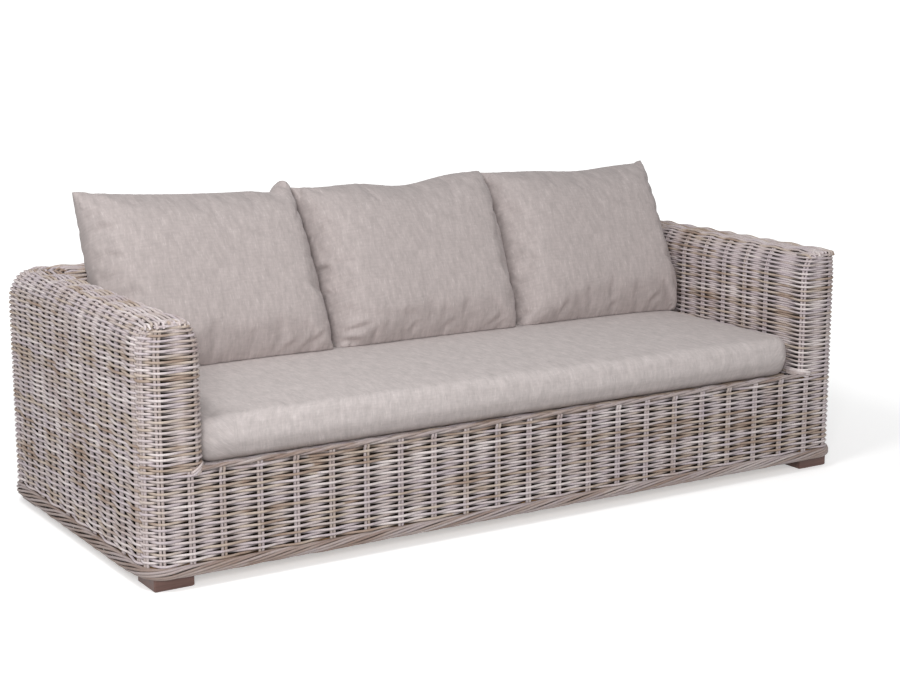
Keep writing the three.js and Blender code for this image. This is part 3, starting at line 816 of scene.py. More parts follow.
class Finish:
    """A material and its Principled shader, with short ways to add nodes."""

    def __init__(self, name, roughness, **settings):
        self.material = bpy.data.materials.new(name)
        self.material.use_nodes = True
        self.tree = self.material.node_tree
        self.shader = self.tree.nodes["Principled BSDF"]
        self.shader.inputs["Roughness"].default_value = roughness
        for label, value in settings.items():
            self.shader.inputs[label.replace("_", " ")].default_value = value

    def node(self, kind, output=0, settings=None, **inputs):
        made = self.tree.nodes.new(kind)
        for key, value in (settings or {}).items():
            setattr(made, key, value)
        for label, value in inputs.items():
            put(self.tree, value, made.inputs[int(label[1:]) if label[0] == "_" else label.replace("_", " ")])
        return made.outputs[output]

    def math(self, operation, *values):
        return self.node("ShaderNodeMath", settings={"operation": operation},
                         **{f"_{k}": value for k, value in enumerate(values)})

    def read(self, name, output="Fac"):
        return self.node("ShaderNodeAttribute", output, {"attribute_name": name})

    def place(self):
        return self.node("ShaderNodeTexCoord", "Object")

    def stretched(self, vector, scale):
        return self.node("ShaderNodeMapping", Vector=vector, Scale=scale)

    def noise(self, vector, scale, detail=2.0, roughness=0.5):
        return self.node("ShaderNodeTexNoise", Vector=vector, Scale=scale, Detail=detail, Roughness=roughness)

    def ramp(self, value, *stops):
        made = self.tree.nodes.new("ShaderNodeValToRGB")
        self.tree.links.new(value, made.inputs["Fac"])
        bar = made.color_ramp.elements
        while len(bar) < len(stops):
            bar.new(1.0)
        for element, (place, colour) in zip(bar, stops):
            element.position = place
            element.color = colour if len(colour) == 4 else (*colour, 1.0)
        return made.outputs["Color"]

    def mix(self, share, first, second, blend="MIX"):
        made = self.tree.nodes.new("ShaderNodeMix")
        made.data_type, made.blend_type = "RGBA", blend
        for socket, value in zip([s for s in made.inputs if s.enabled], (share, first, second)):
            put(self.tree, value, socket)
        return [s for s in made.outputs if s.enabled][0]

    def colour(self, value):
        self.tree.links.new(value, self.shader.inputs["Base Color"])
        return self

    def rough(self, value):
        self.tree.links.new(value, self.shader.inputs["Roughness"])
        return self

    def bump(self, value, distance, strength=1.0):
        normal = self.node("ShaderNodeBump", Height=value, Distance=distance, Strength=strength)
        self.tree.links.new(normal, self.shader.inputs["Normal"])
        return self


def grey(value):
    return (value, value, value, 1.0)


def rattan_finish(name, tones, shade=0.30):
    """Grey-washed rattan: a chalky wash over tan and brown canes, worn in streaks along each strand. The
    colour is painted darker, as shade, where the stored lift says a strand lies back behind the stakes.
    """
    f = Finish(name, 0.62, Specular_IOR_Level=0.35)
    along, row = f.read("along"), f.read("row")
    tone, lift = f.read("tone"), f.read("lift")
    clusters = f.noise(f.place(), cluster_scale, 2.0, 0.6)
    shifted = f.math("ADD", tone, f.math("MULTIPLY", f.math("SUBTRACT", clusters, 0.5), cluster_share))
    base = f.ramp(shifted, *tones)
    grain = [f.math("MULTIPLY", value, scale) for value, scale in zip((along, row), grain_scales)]
    worn = f.noise(f.node("ShaderNodeCombineXYZ", X=grain[0], Y=grain[1]), 1.0, 3.0, 0.6)
    patches = f.noise(f.place(), patch_scale, 3.0, 0.6)
    bare = f.math("MULTIPLY_ADD", patches, patch_share, f.math("MULTIPLY", worn, grain_share))
    amount = f.node("ShaderNodeMapRange", Value=bare, _1=bare_from, _2=bare_full, _3=0.0, _4=bare_most)
    streaked = f.mix(amount, base, bare_cane)
    specks = f.noise(f.place(), speck_scale, 2.0, 0.6)
    fine = f.node("ShaderNodeMapRange", Value=specks, _1=0.3, _2=0.7, _3=0.86, _4=1.1)
    washed = f.mix(1.0, streaked, fine, "MULTIPLY")
    # Painted shade: the colour darkens down to the shade share where the lift says a strand lies back behind
    # the stakes or a border strand turns inward
    depth = f.node("ShaderNodeMapRange", Value=lift, _1=-0.85, _2=-0.1, _3=shade, _4=1.0)
    f.colour(f.mix(1.0, washed, depth, "MULTIPLY"))
    f.bump(f.noise(f.place(), pore_scale, 3.0, 0.6), 0.0006, 0.35)
    return f.material


# Near-black brown for the sheet of painted shade behind the weave
def shade_sheet_finish():
    f = Finish("painted_shade_backing", 0.95, Specular_IOR_Level=0.1)
    f.colour(f.ramp(f.noise(f.place(), 30.0), (0.3, srgb(26, 20, 17)), (0.7, srgb(40, 31, 26))))
    return f.material


# How the tones cluster, where the wash has worn off the cane, and its specks and pores
cluster_scale, cluster_share = 7.0, 1.3
grain_scales, patch_scale, patch_share, grain_share = (22.0, 3.1), 4.5, 0.9, 0.8
bare_from, bare_full, bare_most, bare_cane = 0.86, 1.16, 0.5, srgb(146, 118, 98)
speck_scale, pore_scale = 420.0, 300.0
strand_tones = (
    (0.00, srgb(168, 147, 133)), (0.18, srgb(203, 188, 175)), (0.36, srgb(199, 186, 182)),
    (0.58, srgb(212, 200, 199)), (0.80, srgb(199, 187, 191)), (1.00, srgb(228, 218, 216)),
)
# Tones darker than the strands': painted shade on the borders, which face down or lie under the seat
shaded_border_tones = (
    (0.00, srgb(150, 132, 124)), (0.20, srgb(166, 150, 143)), (0.50, srgb(178, 165, 162)),
    (0.80, srgb(172, 160, 160)), (1.00, srgb(190, 179, 176)),
)
rattan = rattan_finish("grey_washed_rattan", strand_tones)
shaded_border_rattan = rattan_finish("rattan_border_painted_shade", shaded_border_tones, 0.40)
painted_shade_material = shade_sheet_finish()


def wood_finish(name, axis, dark, light, roughness):
    """Planed wood with its grain along one axis."""
    f = Finish(name, roughness, Specular_IOR_Level=0.4, Coat_Weight=0.08, Coat_Roughness=0.35)
    across, along = 60.0, 3.5
    scale = [across, across, across]
    scale["xyz".index(axis)] = along
    grain = f.noise(f.stretched(f.place(), tuple(scale)), 1.0, 4.0, 0.6)
    pores = f.noise(f.stretched(f.place(), tuple(value * 5 for value in scale)), 1.0, 2.0, 0.6)
    drawn = f.math("MULTIPLY_ADD", pores, 0.35, f.math("MULTIPLY", grain, 0.65))
    f.colour(f.ramp(drawn, (0.32, dark), (0.66, light)))
    f.rough(f.math("MULTIPLY_ADD", grain, 0.2, roughness - 0.1))
    f.bump(drawn, 0.0005, 0.35)
    return f.material


def steel_finish():
    f = Finish("zinc_plated_steel", 0.38, Metallic=1.0)
    dull = f.noise(f.place(), 180.0, 3.0, 0.6)
    f.colour(f.ramp(dull, (0.3, srgb(176, 178, 182)), (0.7, srgb(206, 208, 212))))
    f.rough(f.math("MULTIPLY_ADD", dull, 0.2, 0.28))
    return f.material


def finish_carried_nodes():
    """Gives the frame, the feet and the bolts their wood and steel."""
    slots = {part["node"]: part["material_slot"] for part in frame["record"]["subparts"]}
    steel = steel_finish()
    frame_wood = {axis: wood_finish("frame_wood_" + axis, axis, srgb(150, 112, 78), srgb(186, 146, 106), 0.6)
                  for axis in "xyz"}
    foot_wood = wood_finish("foot_wood", "x", foot_tones[0], foot_tones[1], 0.45)
    for name, made in frame["nodes"].items():
        low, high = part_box(name)
        sides = high - low
        axis = "xyz"[max(range(3), key=lambda k: sides[k])]
        chosen = {"steel": steel, "foot_wood": foot_wood, "frame_wood": frame_wood[axis]}.get(slots.get(name))
        if chosen:
            made.data.materials.clear()
            made.data.materials.append(chosen)


foot_tones = (srgb(82, 58, 52), srgb(118, 88, 80))


# the woven body
def on_frame(piece, slot, *nodes):
    """A piece that stays on the sofa's frame, and the nodes that it stands for."""
    if nodes:
        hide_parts(*nodes)
    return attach(piece, "sofa_frame")


def weave(name, lines, node, **changes):
    values = {
        "Strand radius": strand_radius, "Weave depth": weave_depth, "Inset": weave_inset,
        "Wander": strand_wander, "Thickness spread": strand_thickness_spread, "Strand length": strand_length,
        "Calm on top": calm_on_top, "Sides": 6, "Seed": 11, "Material": rattan, **changes,
    }
    return on_frame(grown(guide_object(name + "_guide", lines), strands, name, values), "rattan", node)


def behind_strands(point):
    offset, front = abs(point[0]) - arm_inner, point[1] + half_depth
    return front > corner_radius or point[2] < skin_height(offset, front) - shade_sheet_least_depth


def painted_shade_sheet(name, stacks):
    """A thin dark shell behind the strands, which paints the shade inside the woven walls. Each stack is a
    list of guides with equal point counts.
    """
    points, faces = [], []
    for stack in stacks:
        rows = [line["points"] - line["out"] * shade_sheet_inset for line in stack]
        faces += grid_faces(len(rows) - 1, len(rows[0]) - 1, len(points))
        points += [p for line in rows for p in line]
    hidden = [behind_strands(p) for p in points]
    made = mesh_object(name, points, (), [face for face in faces if all(hidden[k] for k in face)])
    shell = made.modifiers.new("shell", "SOLIDIFY")
    shell.thickness, shell.offset = shade_sheet_thickness, -1.0
    made.data.materials.append(painted_shade_material)
    on_frame(made, "rattan")


def stake_pairs(name, lines, **changes):
    values = {
        "Stake radius": stake_radius, "Pair gap": stake_pair_gap, "Inset": weave_inset + stake_behind,
        "Sides": 6, "Seed": 23, "Material": rattan, **changes,
    }
    on_frame(grown(guide_object(name + "_guide", lines), stakes, name, values), "rattan")


skirt = skirt_guides()
walls = row_guides(wall_row, wall_levels(), wall_shares, len(skirt["apron"]))
tops = row_guides(top_row, top_profile(), top_shares, len(skirt["apron"]) + len(walls["arm_left"]))
strands = strand_tree()
stakes = stake_tree()
ropes = rope_tree()

finish_carried_nodes()
for side in ("left", "right"):
    key = "arm_" + side
    stacks = [skirt[key], walls[key], tops[key]]
    weave("arm_strands_" + side, sum(stacks, []), "arm_weave_" + side)
    painted_shade_sheet("arm_painted_shade_" + side, stacks)
outside = [skirt["back_outside"], walls["back_outside"]]
inside = [walls["back_inside"], tops["back_top"]]
weave("back_strands_outside", sum(outside, []), "back_weave")
weave("back_strands_inside", sum(inside, []), "back_weave", Sides=5)
painted_shade_sheet("back_painted_shade", outside + inside)
weave("apron_strands", skirt["apron"], "apron_weave")
painted_shade_sheet("apron_painted_shade", [skirt["apron"]])
for place, lines in stake_guides().items():
    stake_pairs("stakes_" + place, lines)


def corner_wraps():
    """Strands that come round the inner corner of each arm and slant down into the apron's rows."""
    lines = []
    bend = math.pi / 2 * inner_nose_radius
    for side, ends in wrap_ends.items():
        for row, (reach, fall) in enumerate(ends):
            along = np.linspace(-wrap_start, reach, wrap_points)
            turn = np.clip(along / inner_nose_radius, 0, math.pi / 2)
            x = arm_inner + inner_nose_radius * (1 - np.cos(turn)) + np.clip(along - bend, 0, None)
            y = -half_depth + inner_nose_radius * (1 - np.sin(turn)) - np.clip(along, None, 0)
            share = np.clip((along - wrap_bend) / (reach - wrap_bend), 0, 1)
            z = apron_top - apron_border_drop - wrap_row_drop * row - fall * share ** wrap_fall_power
            near_end = np.clip((along / reach - wrap_tuck_from) / (1 - wrap_tuck_from), 0, 1)
            tuck = wrap_proud * (1 - wrap_tuck * near_end ** 2)
            out = np.column_stack([-side * np.cos(turn), -np.sin(turn), np.zeros(len(turn))])
            points = np.column_stack([side * x, y, z]) + out * tuck[:, None]
            line = {"points": points, "out": out, "along": along + 2 + row, "phase": along, "row": 5 + row}
            lines.append(line)
    stake_pairs("corner_wraps", lines, **{
        "Stake radius": wrap_radius, "Pair gap": 2 * wrap_radius, "Inset": 0.0, "Sides": 7, "Seed": 3,
    })


# How far each strand reaches round the corner from the arm's inner face, and how far it falls
wrap_radius, wrap_row_drop = 0.0033, 0.0045
wrap_start, wrap_bend, wrap_proud = 0.030, 0.022, 0.0006
wrap_fall_power, wrap_tuck_from, wrap_tuck = 1.3, 0.75, 2.2
wrap_ends = {-1: ((0.056, 0.016), (0.046, 0.014)), 1: ((0.054, 0.003), (0.046, 0.006))}
corner_wraps()


def rope(name, lines, node, **values):
    shared = {"Wander": rope_wander, "Sides": 7, "Seed": 5, "Material": shaded_border_rattan}
    on_frame(grown(guide_object(name + "_guide", lines), ropes, name, {**shared, **values}), "border", node)


for place, lines in border_guides().items():
    rope("border_strands_" + place, lines, "base_border_" + place, **{
        "Strands": float(border_strands), "Bundles": float(border_strands), "Bundling": 0.0,
        "Wander": border_wander,
        "Strand radius": border_strand_radius, "Half depth": border_half_depth,
        "Half height": (border_high - border_low) / 2 - border_strand_radius,
        "Lay": border_lay, "Lean": 0.0, "Start": 0.0,
    })
apron_border_reach = arm_inner + apron_border_past_arm
apron_border_y = -half_depth + apron_border_inset
apron_border_height = apron_top - apron_border_half_height - apron_border_strand_radius - apron_border_drop
apron_border_ends = [[(side * apron_border_reach, apron_border_y, apron_border_height)] for side in (1, -1)]
apron_line = straight_guides(*apron_border_ends, (0.0, -1.0, 0.0), [0.0, 1.0], apron_points)
apron_border_lay = apron_border_bundles * apron_pitch
middle_strand = apron_border_bundling / 4 / apron_border_bundles
rope("apron_border_strands", apron_line, "apron_border", **{
    "Strands": float(apron_border_strands), "Bundles": float(apron_border_bundles),
    "Bundling": apron_border_bundling, "Strand radius": apron_border_strand_radius,
    "Half height": apron_border_half_height, "Half depth": apron_border_half_depth,
    "Lay": apron_border_lay, "Lean": apron_border_lean,
    "Start": -0.25 - apron_border_reach / apron_border_lay - middle_strand,
})

deck_rows = np.arange(deck_low.y + deck_pitch, deck_high.y - deck_pitch / 2, deck_pitch)
deck_lines = straight_guides(
    [(deck_low.x, y, deck_high.z) for y in deck_rows], [(deck_high.x, y, deck_high.z) for y in deck_rows],
    (0.0, 0.0, 1.0), np.arange(-1, deck_marks) * deck_stake_pitch, deck_points,
)
weave("seat_deck_strands", deck_lines, "seat_deck_weave", **{
    "Strand radius": deck_strand_radius, "Weave depth": deck_weave_depth, "Inset": deck_inset,
    "Wander": 0.0006, "Thickness spread": 0.08, "Strand length": 0.9, "Calm on top": 0.0,
    "Sides": 5, "Seed": 31,
})


# cushions
# Threads, fine threads, cross threads, broad bands and slubs, as (across, along, detail, roughness)
linen_patterns = ((84.0, 24.0, 4.0, 0.7), (430.0, 70.0, 2.0, 0.6), (34.0, 190.0, 2.0, 0.6),
                  (32.0, 15.0, 3.0, 0.6), (230.0, 42.0, 1.0, 0.5))


def linen_finish(name, plain, pale):
    """Undyed linen: slubby threads that run along the second cloth direction, with pale flecks."""
    f = Finish(name, 0.9, Specular_IOR_Level=0.2, Sheen_Weight=0.12, Sheen_Roughness=0.5)
    cloth = f.read("cloth", "Vector")
    threads, fine, cross, broad, slubs = [
        f.noise(f.stretched(cloth, (across, along, 1.0)), 1.0, detail, roughness)
        for across, along, detail, roughness in linen_patterns
    ]
    shade = f.math("MULTIPLY_ADD", threads, 0.52, 0.74)
    for pattern, depth in ((fine, 0.14), (cross, 0.24), (broad, 0.34)):
        shade = f.math("MULTIPLY", shade, f.math("MULTIPLY_ADD", pattern, depth, 1 - depth / 2))
    fleck = f.node("ShaderNodeMapRange", Value=slubs, _1=0.60, _2=0.80, _3=0.0, _4=0.40)
    dyed = f.mix(fleck, plain, pale)
    f.colour(f.mix(1.0, dyed, shade, "MULTIPLY"))
    weft = f.math("ADD", f.math("MULTIPLY", fine, 0.6), f.math("MULTIPLY", cross, 0.4))
    f.bump(f.math("ADD", weft, f.math("MULTIPLY", fleck, 0.5)), 0.0006, 0.5)
    return f.material


# One linen in two copies: the seat's is painted lighter for the light on its top, and the back cushions'
# darker as painted shade
seat_linen_painted_light = linen_finish("seat_linen_painted_light", srgb(202, 193, 191), srgb(233, 226, 224))
pillow_linen_painted_shade = linen_finish("pillow_linen_painted_shade", srgb(184, 174, 172), srgb(219, 210, 208))


def padded_object(name, linen, sheets):
    """A closed shell out of grids of points that meet along their edges.

    A sheet holds its points, its cloth coordinates, whether its faces turn round, how near each point
    is to a seam, and 1 on the front, which may crease.
    """
    points, faces, cloth, seam, front = [], [], [], [], []
    for grid, place, flip, near_seam, facing in sheets:
        rows, columns = grid.shape[0] - 1, grid.shape[1] - 1
        faces += grid_faces(rows, columns, len(points), flip)
        points += list(grid.reshape(-1, 3))
        cloth += list(place.reshape(-1, 2))
        seam += list(np.broadcast_to(near_seam, grid.shape[:2]).ravel())
        front += [facing] * grid[..., 0].size
    made = mesh_object(name, points, (), faces)
    cloth = np.column_stack([np.array(cloth), np.zeros(len(cloth))])
    attribute(made, "cloth", "FLOAT_VECTOR", cloth)
    attribute(made, "seam", "FLOAT", seam)
    attribute(made, "front", "FLOAT", front)
    shape = bmesh.new()
    shape.from_mesh(made.data)
    bmesh.ops.remove_doubles(shape, verts=shape.verts, dist=1e-6)
    shape.to_mesh(made.data)
    shape.free()
    made.data.polygons.foreach_set("use_smooth", [True] * len(made.data.polygons))
    made.data.materials.append(linen)
    return made


def positions(mesh, kind="co"):
    flat = np.empty(3 * len(mesh.vertices), np.float32)
    mesh.vertices.foreach_get(kind, flat)
    return flat.reshape(-1, 3).astype(float)


def stored(mesh, name, kind="value"):
    size = 3 if kind == "vector" else 1
    flat = np.empty(size * len(mesh.vertices), np.float32)
    mesh.attributes[name].data.foreach_get(kind, flat)
    return flat.reshape(-1, size).astype(float) if size == 3 else flat.astype(float)


def crease_depth(across, along, creases):
    """How far the cloth falls in at a place, for creases given as (start, end, width, depth)."""
    total = np.zeros_like(across)
    for (x0, y0), (x1, y1), width, depth in creases:
        size = math.hypot(x1 - x0, y1 - y0)
        way = ((x1 - x0) / size, (y1 - y0) / size)
        run = ((across - x0) * way[0] + (along - y0) * way[1]) / size
        off = (along - y0) * way[0] - (across - x0) * way[1]
        beyond = np.clip(np.abs(run - 0.5) * 2 - crease_even, 0, None) / (1 - crease_even)
        taper = np.exp(-crease_taper * beyond ** 2) * (beyond < 2)
        ridge = ridge_height * np.exp(-((off - ridge_place * width) / (ridge_width * width)) ** 2)
        total += depth * taper * (np.exp(-(off / width) ** 2) - ridge)
    return total


def fill_with_air(piece, cap, slack, pressure, limits, creases=()):
    """Blows a cushion up as cloth held at its seams, caps how far points move, creases it and limits it."""
    start = positions(piece.data)
    moved = start
    seam = piece.vertex_groups.new(name="seam")
    for index, weight in enumerate(stored(piece.data, "seam")):
        if weight > 0.01:
            seam.add([index], min(weight, 1.0), "REPLACE")
    cloth = piece.modifiers.new("cloth", "CLOTH")
    for key, value in cloth_settings.items():
        setattr(cloth.settings, key, value)
    cloth.settings.uniform_pressure_force = pressure
    cloth.settings.shrink_min = slack
    cloth.settings.effector_weights.gravity = 0.0
    cloth.collision_settings.use_collision = False
    cloth.point_cache.frame_start, cloth.point_cache.frame_end = 1, cloth_frames
    for number in range(1, cloth_frames + 1):
        bpy.context.scene.frame_set(number)
    shown = piece.evaluated_get(bpy.context.evaluated_depsgraph_get())
    moved = positions(shown.data)
    piece.modifiers.remove(cloth)
    piece.vertex_groups.remove(seam)
    bpy.context.scene.frame_set(1)
    step = moved - start
    size = np.linalg.norm(step, axis=1)
    step *= (1 / (1 + (size / cap) ** 3) ** (1 / 3))[:, None]
    place = stored(piece.data, "cloth", "vector")
    inward = crease_depth(place[:, 0], place[:, 1], creases) * (stored(piece.data, "front") > 0.5)
    points = start + step - positions(piece.data, "normal") * inward[:, None]
    piece.data.vertices.foreach_set("co", limits(points).astype(np.float32).ravel())
    for label in ("seam", "front"):
        piece.data.attributes.remove(piece.data.attributes[label])
    piece.data.update()
    rounding = piece.modifiers.new("rounding", "SUBSURF")
    rounding.levels = rounding.render_levels = 1


# A crease keeps its depth over this share of its length. The ridge beside it is given in its width.
crease_even, crease_taper = 0.25, 3.0
ridge_height, ridge_place, ridge_width = 0.55, 1.9, 1.3
cloth_frames = 20
cloth_settings = {
    "vertex_group_mass": "seam", "quality": 5, "mass": 0.25, "tension_stiffness": 12.0,
    "compression_stiffness": 12.0, "shear_stiffness": 4.0, "bending_stiffness": 0.35, "use_pressure": True,
}
seat_middle = (seat_low.y + seat_high.y) / 2
seat_reach = (seat_high.y - seat_low.y) / 2


def seat_top(x, y, drop=0.0):
    across = np.minimum(1.0, np.abs(x) / seat_high.x)
    along = np.minimum(1.0, np.abs(y - seat_middle) / seat_reach)
    return seat_low.z + seat_edge_height - drop + seat_crown * (1 - across ** 6) * (1 - along ** 4)


def rounded_places(columns, rows, half_x, half_y, corner):
    """A grid of places from -1 to 1, drawn into a rectangle with rounded corners."""
    s, t = np.meshgrid(columns, rows)
    level = np.maximum(np.abs(s), np.abs(t))
    x, y = s * half_x, t * half_y
    reach_x, reach_y = level * half_x, level * half_y
    bend = corner * level
    over_x = np.maximum(np.abs(x) - (reach_x - bend), 0)
    over_y = np.maximum(np.abs(y) - (reach_y - bend), 0)
    both = (over_x > 0) & (over_y > 0)
    far = np.hypot(over_x, over_y)
    grow = np.where(both, bend / np.maximum(far, 1e-9), 1.0)
    x = np.where(both, np.sign(x) * (reach_x - bend + over_x * grow), x)
    y = np.where(both, np.sign(y) * (reach_y - bend + over_y * grow), y)
    return x, y


def seat_side(share):
    """The seat's side at a share of the way down it: how far in, how far up from its base, what is added."""
    if share < seat_edge_share:
        angle = math.pi / 2 * (1 - share / seat_edge_share)
        over = seat_side_bulge / 2 + seat_edge_round * (1 - math.cos(angle))
        return over, 1.0, seat_edge_round * math.sin(angle)
    if share < 1 - seat_bottom_share:
        way = (share - seat_edge_share) / (1 - seat_bottom_share - seat_edge_share)
        return seat_side_bulge * (way - 0.5) ** 2 * (2 if way < 0.5 else 4), 1 - way, 0.0
    angle = math.pi / 2 * (1 - share) / seat_bottom_share
    over = seat_side_bulge + seat_bottom_round * (1 - math.sin(angle))
    return over, 0.0, -seat_bottom_round * math.cos(angle)


def seat_cushion():
    columns, rows, steps = seat_grid
    s, t = spread(columns, seat_spread[0]), spread(rows, seat_spread[1])

    def places(inset):
        x, y = rounded_places(s, t, seat_high.x - inset, seat_reach - inset, seat_corner - inset)
        return x, y + seat_middle

    x, y = places(seat_side_bulge / 2 + seat_edge_round)
    top = np.dstack([x, y, seat_top(x, y)])
    x, y = places(seat_side_bulge + seat_bottom_round)
    bottom = np.dstack([x, y, np.full_like(x, seat_low.z)])
    ring = [(0, i) for i in range(columns)] + [(j, columns) for j in range(rows)]
    ring += [(rows, i) for i in range(columns, 0, -1)] + [(j, 0) for j in range(rows, 0, -1)]
    ring = tuple(np.array(ring + ring[:1]).T)
    base = seat_low.z + seat_bottom_round
    side = []
    for step in range(steps + 1):
        over, level, added = seat_side(step / steps)
        x, y = (values[ring] for values in places(over))
        high = seat_top(x, y, seat_edge_round)
        side.append(np.column_stack([x, y, base + (high - base) * level + added]))
    side = np.array(side)
    steps_down = np.linalg.norm(np.diff(side, axis=0), axis=2)
    fall = np.vstack([np.zeros(side.shape[1]), np.cumsum(steps_down, axis=0)])
    lean = (side[0, :, :2] - (0, seat_middle)) / (seat_high.x - 0.1, seat_reach - 0.05)
    way = np.where(np.abs(lean) > 0.97, np.sign(lean), 0.0)
    side_cloth = side[0][None, :, :2] + way[None, :, :] * fall[:, :, None]
    return padded_object("seat_cushion_linen", seat_linen_painted_light, [
        (top, top[:, :, :2], False, 0.0, 1.0), (side, side_cloth, True, 0.0, 1.0),
        (bottom, bottom[:, :, :2] + 3.0, True, 1.0, 0.0),
    ])


def spread(count, share=1.0):
    """Places from -1 to 1 that lie closer together towards both ends, by a share from 0 to 1."""
    even = np.linspace(-1, 1, count + 1)
    return (1 - share) * even + share * np.sin(even * math.pi / 2)


def hump(value, centre, width):
    return np.exp(-((value - centre) / width) ** 2)


def pillow_sides(place, v):
    """World x of a back cushion's left and right edges at heights v from -1 to 1."""
    edges = []
    for index in (place, place + 1):
        if 0 <= index < 2:
            low, high = pillow_seams[index]
            inward = pillow_seam_gap * (1 if index == place else -1)
            edges.append(low + (high - low) * (1 + v) / 2 + inward)
        else:
            way = -1 if index < 0 else 1
            over = np.interp(v, *zip(*pillow_over_arm[way]))
            edges.append(way * (arm_inner - pillow_outer_gap + over))
    return edges


def rounded(value, power):
    """1 in the middle, and down to 0 at -1 and 1. With a high power it falls late."""
    return np.sqrt(np.clip(1 - np.abs(value) ** power, 0, 1))


def drawn_in(value, other, amount):
    """How far an edge is drawn in by the filling: most in its middle, and not at the corners."""
    return amount * (1 - np.abs(other) ** 8) * np.abs(value) ** 3


def pillow(name, place, top_line):
    """A pillow between two seams. Its top line lists (place across, width, rise), and knobs are narrow."""
    columns, rows = pillow_grid
    u, v = np.meshgrid(spread(columns), spread(rows))
    left, right = pillow_sides(place, v)
    middle, reach = (left + right) / 2, (right - left) / 2
    outer = u * place > 0
    draw = np.where(outer, pillow_draw_side / 3, pillow_draw_side)
    across = u * (reach - drawn_in(u, v, draw))
    upper = np.clip((v + 0.2) / 1.2, 0, 1) ** 2
    along = v * (pillow_half_height - drawn_in(v, u, pillow_draw_end))
    end = np.where(v > 0, pillow_top_power, pillow_foot_power)
    power = np.where(outer, np.interp(v, *zip(*pillow_outer_power[place])), pillow_right_power)
    ends = pillow_half_thickness * rounded(v, end)
    thick = ends * rounded(u, power)
    round_left = ends * rounded(u, np.where(u < 0, pillow_left_power, power))
    for centre, width, rise in top_line:
        if rise < 0 or width > knob_widest:
            along += rise * hump(u, centre, width) * upper
            continue
        knob = hump(u, centre, width) ** 2 if width > knob_pointed else np.exp(-((u - centre) / width) ** 4)
        along += rise * knob * np.clip(v, 0, 1) ** knob_rise_power
        least = knob_thickness * knob * np.clip(v, 0, 1) ** knob_thick_power
        least = least * rounded(v, knob_end_power) * rounded(u, knob_side_power)
        thick, round_left = np.maximum(thick, least), np.maximum(round_left, least)
    up = pillow_half_height - pillow_sink + along
    sheets = []
    for face, out in ((1, round_left), (-1, -thick)):
        x = middle + across
        y = pillow_seam_back + up * math.sin(pillow_lean) - out * math.cos(pillow_lean)
        z = seat_low.z + seat_edge_height + up * math.cos(pillow_lean) + out * math.sin(pillow_lean)
        near_seam = np.clip((np.maximum(np.abs(u), np.abs(v)) - pillow_seam_from) / pillow_seam_band, 0, 1)
        cloth = np.dstack([x - place * pillow_pitch, along])
        sheets.append((np.dstack([x, y, z]), cloth, face < 0, near_seam, float(face > 0)))
    return padded_object(name, pillow_linen_painted_shade, sheets)


def pillow_limits(place):
    """Keeps a back cushion clear of the seat, the wall and its neighbours."""

    def held(points):
        points = points.copy()
        up = (points[:, 2] - seat_low.z - seat_edge_height) / math.cos(pillow_lean)
        v = np.clip((up + pillow_sink) / pillow_half_height - 1, -1, 1)
        left, right = pillow_sides(place, v)
        points[:, 0] = np.clip(points[:, 0], left, right)
        points[:, 1] = np.minimum(points[:, 1], back_inner - rest_gap)
        points[:, 2] = np.maximum(points[:, 2], seat_top(points[:, 0], points[:, 1]) + rest_gap)
        return points

    return held


def seat_limits(points):
    points = points.copy()
    points[:, 0] = np.clip(points[:, 0], seat_low.x, seat_high.x)
    points[:, 1] = np.clip(points[:, 1], seat_low.y - seat_front_give, seat_high.y)
    return points


# Rises and dips of each top line, and folds as (start, end, width, depth) from the cushion's centre
pillow_shapes = {
    "left": (
        [(-1.0, 0.62, 0.0175), (-0.94, 0.070, 0.006), (0.80, 0.15, -0.0115), (0.905, 0.085, 0.024),
         (0.5, 0.5, -0.005)],
        [((-0.322, 0.168), (-0.262, 0.148), 0.008, 0.005), ((-0.318, 0.087), (-0.262, 0.060), 0.008, 0.005),
         ((0.186, -0.252), (0.215, -0.226), 0.008, 0.005), ((0.255, -0.252), (0.312, -0.203), 0.008, 0.007),
         ((0.232, -0.254), (0.270, -0.222), 0.007, 0.005), ((-0.30, 0.262), (-0.25, 0.205), 0.012, 0.004),
         ((0.283, 0.276), (0.325, 0.236), 0.008, 0.009)],
    ),
    "middle": (
        [(0.08, 0.33, -0.020), (0.95, 0.14, 0.003), (-0.80, 0.35, -0.009), (0.74, 0.28, 0.008)],
        [((-0.326, 0.108), (-0.285, 0.088), 0.007, 0.006), ((-0.326, 0.006), (-0.266, -0.020), 0.008, 0.011),
         ((-0.322, -0.078), (-0.258, -0.094), 0.008, 0.006),
         ((-0.296, -0.214), (-0.180, -0.200), 0.008, 0.008),
         ((-0.296, -0.224), (-0.205, -0.250), 0.008, 0.008),
         ((-0.055, -0.250), (-0.026, -0.212), 0.008, 0.006),
         ((0.060, -0.250), (0.102, -0.220), 0.008, 0.005), ((0.215, -0.252), (0.272, -0.224), 0.008, 0.006),
         ((0.300, 0.070), (0.325, 0.020), 0.010, 0.004), ((-0.26, -0.170), (0.02, -0.198), 0.012, 0.002)],
    ),
    "right": (
        [(0.10, 0.40, -0.012), (0.97, 0.06, 0.006)],
        [((-0.318, -0.230), (-0.268, -0.208), 0.008, 0.007),
         ((-0.320, -0.184), (-0.280, -0.176), 0.007, 0.005),
         ((-0.165, -0.246), (-0.130, -0.202), 0.009, 0.006), ((0.028, -0.250), (0.068, -0.226), 0.008, 0.005),
         ((0.190, -0.246), (0.236, -0.212), 0.009, 0.005), ((-0.31, 0.25), (-0.26, 0.18), 0.012, 0.003)],
    ),
}
seat_folds = [((-0.972, -0.470), (-0.850, -0.330), 0.020, 0.003),
              ((-0.60, -0.44), (-0.30, -0.40), 0.05, 0.0015)]


def loose(piece, node, fill):
    """A padded piece that is lifted off with the body of the node that it stands for."""
    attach(piece, node)
    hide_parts(node)


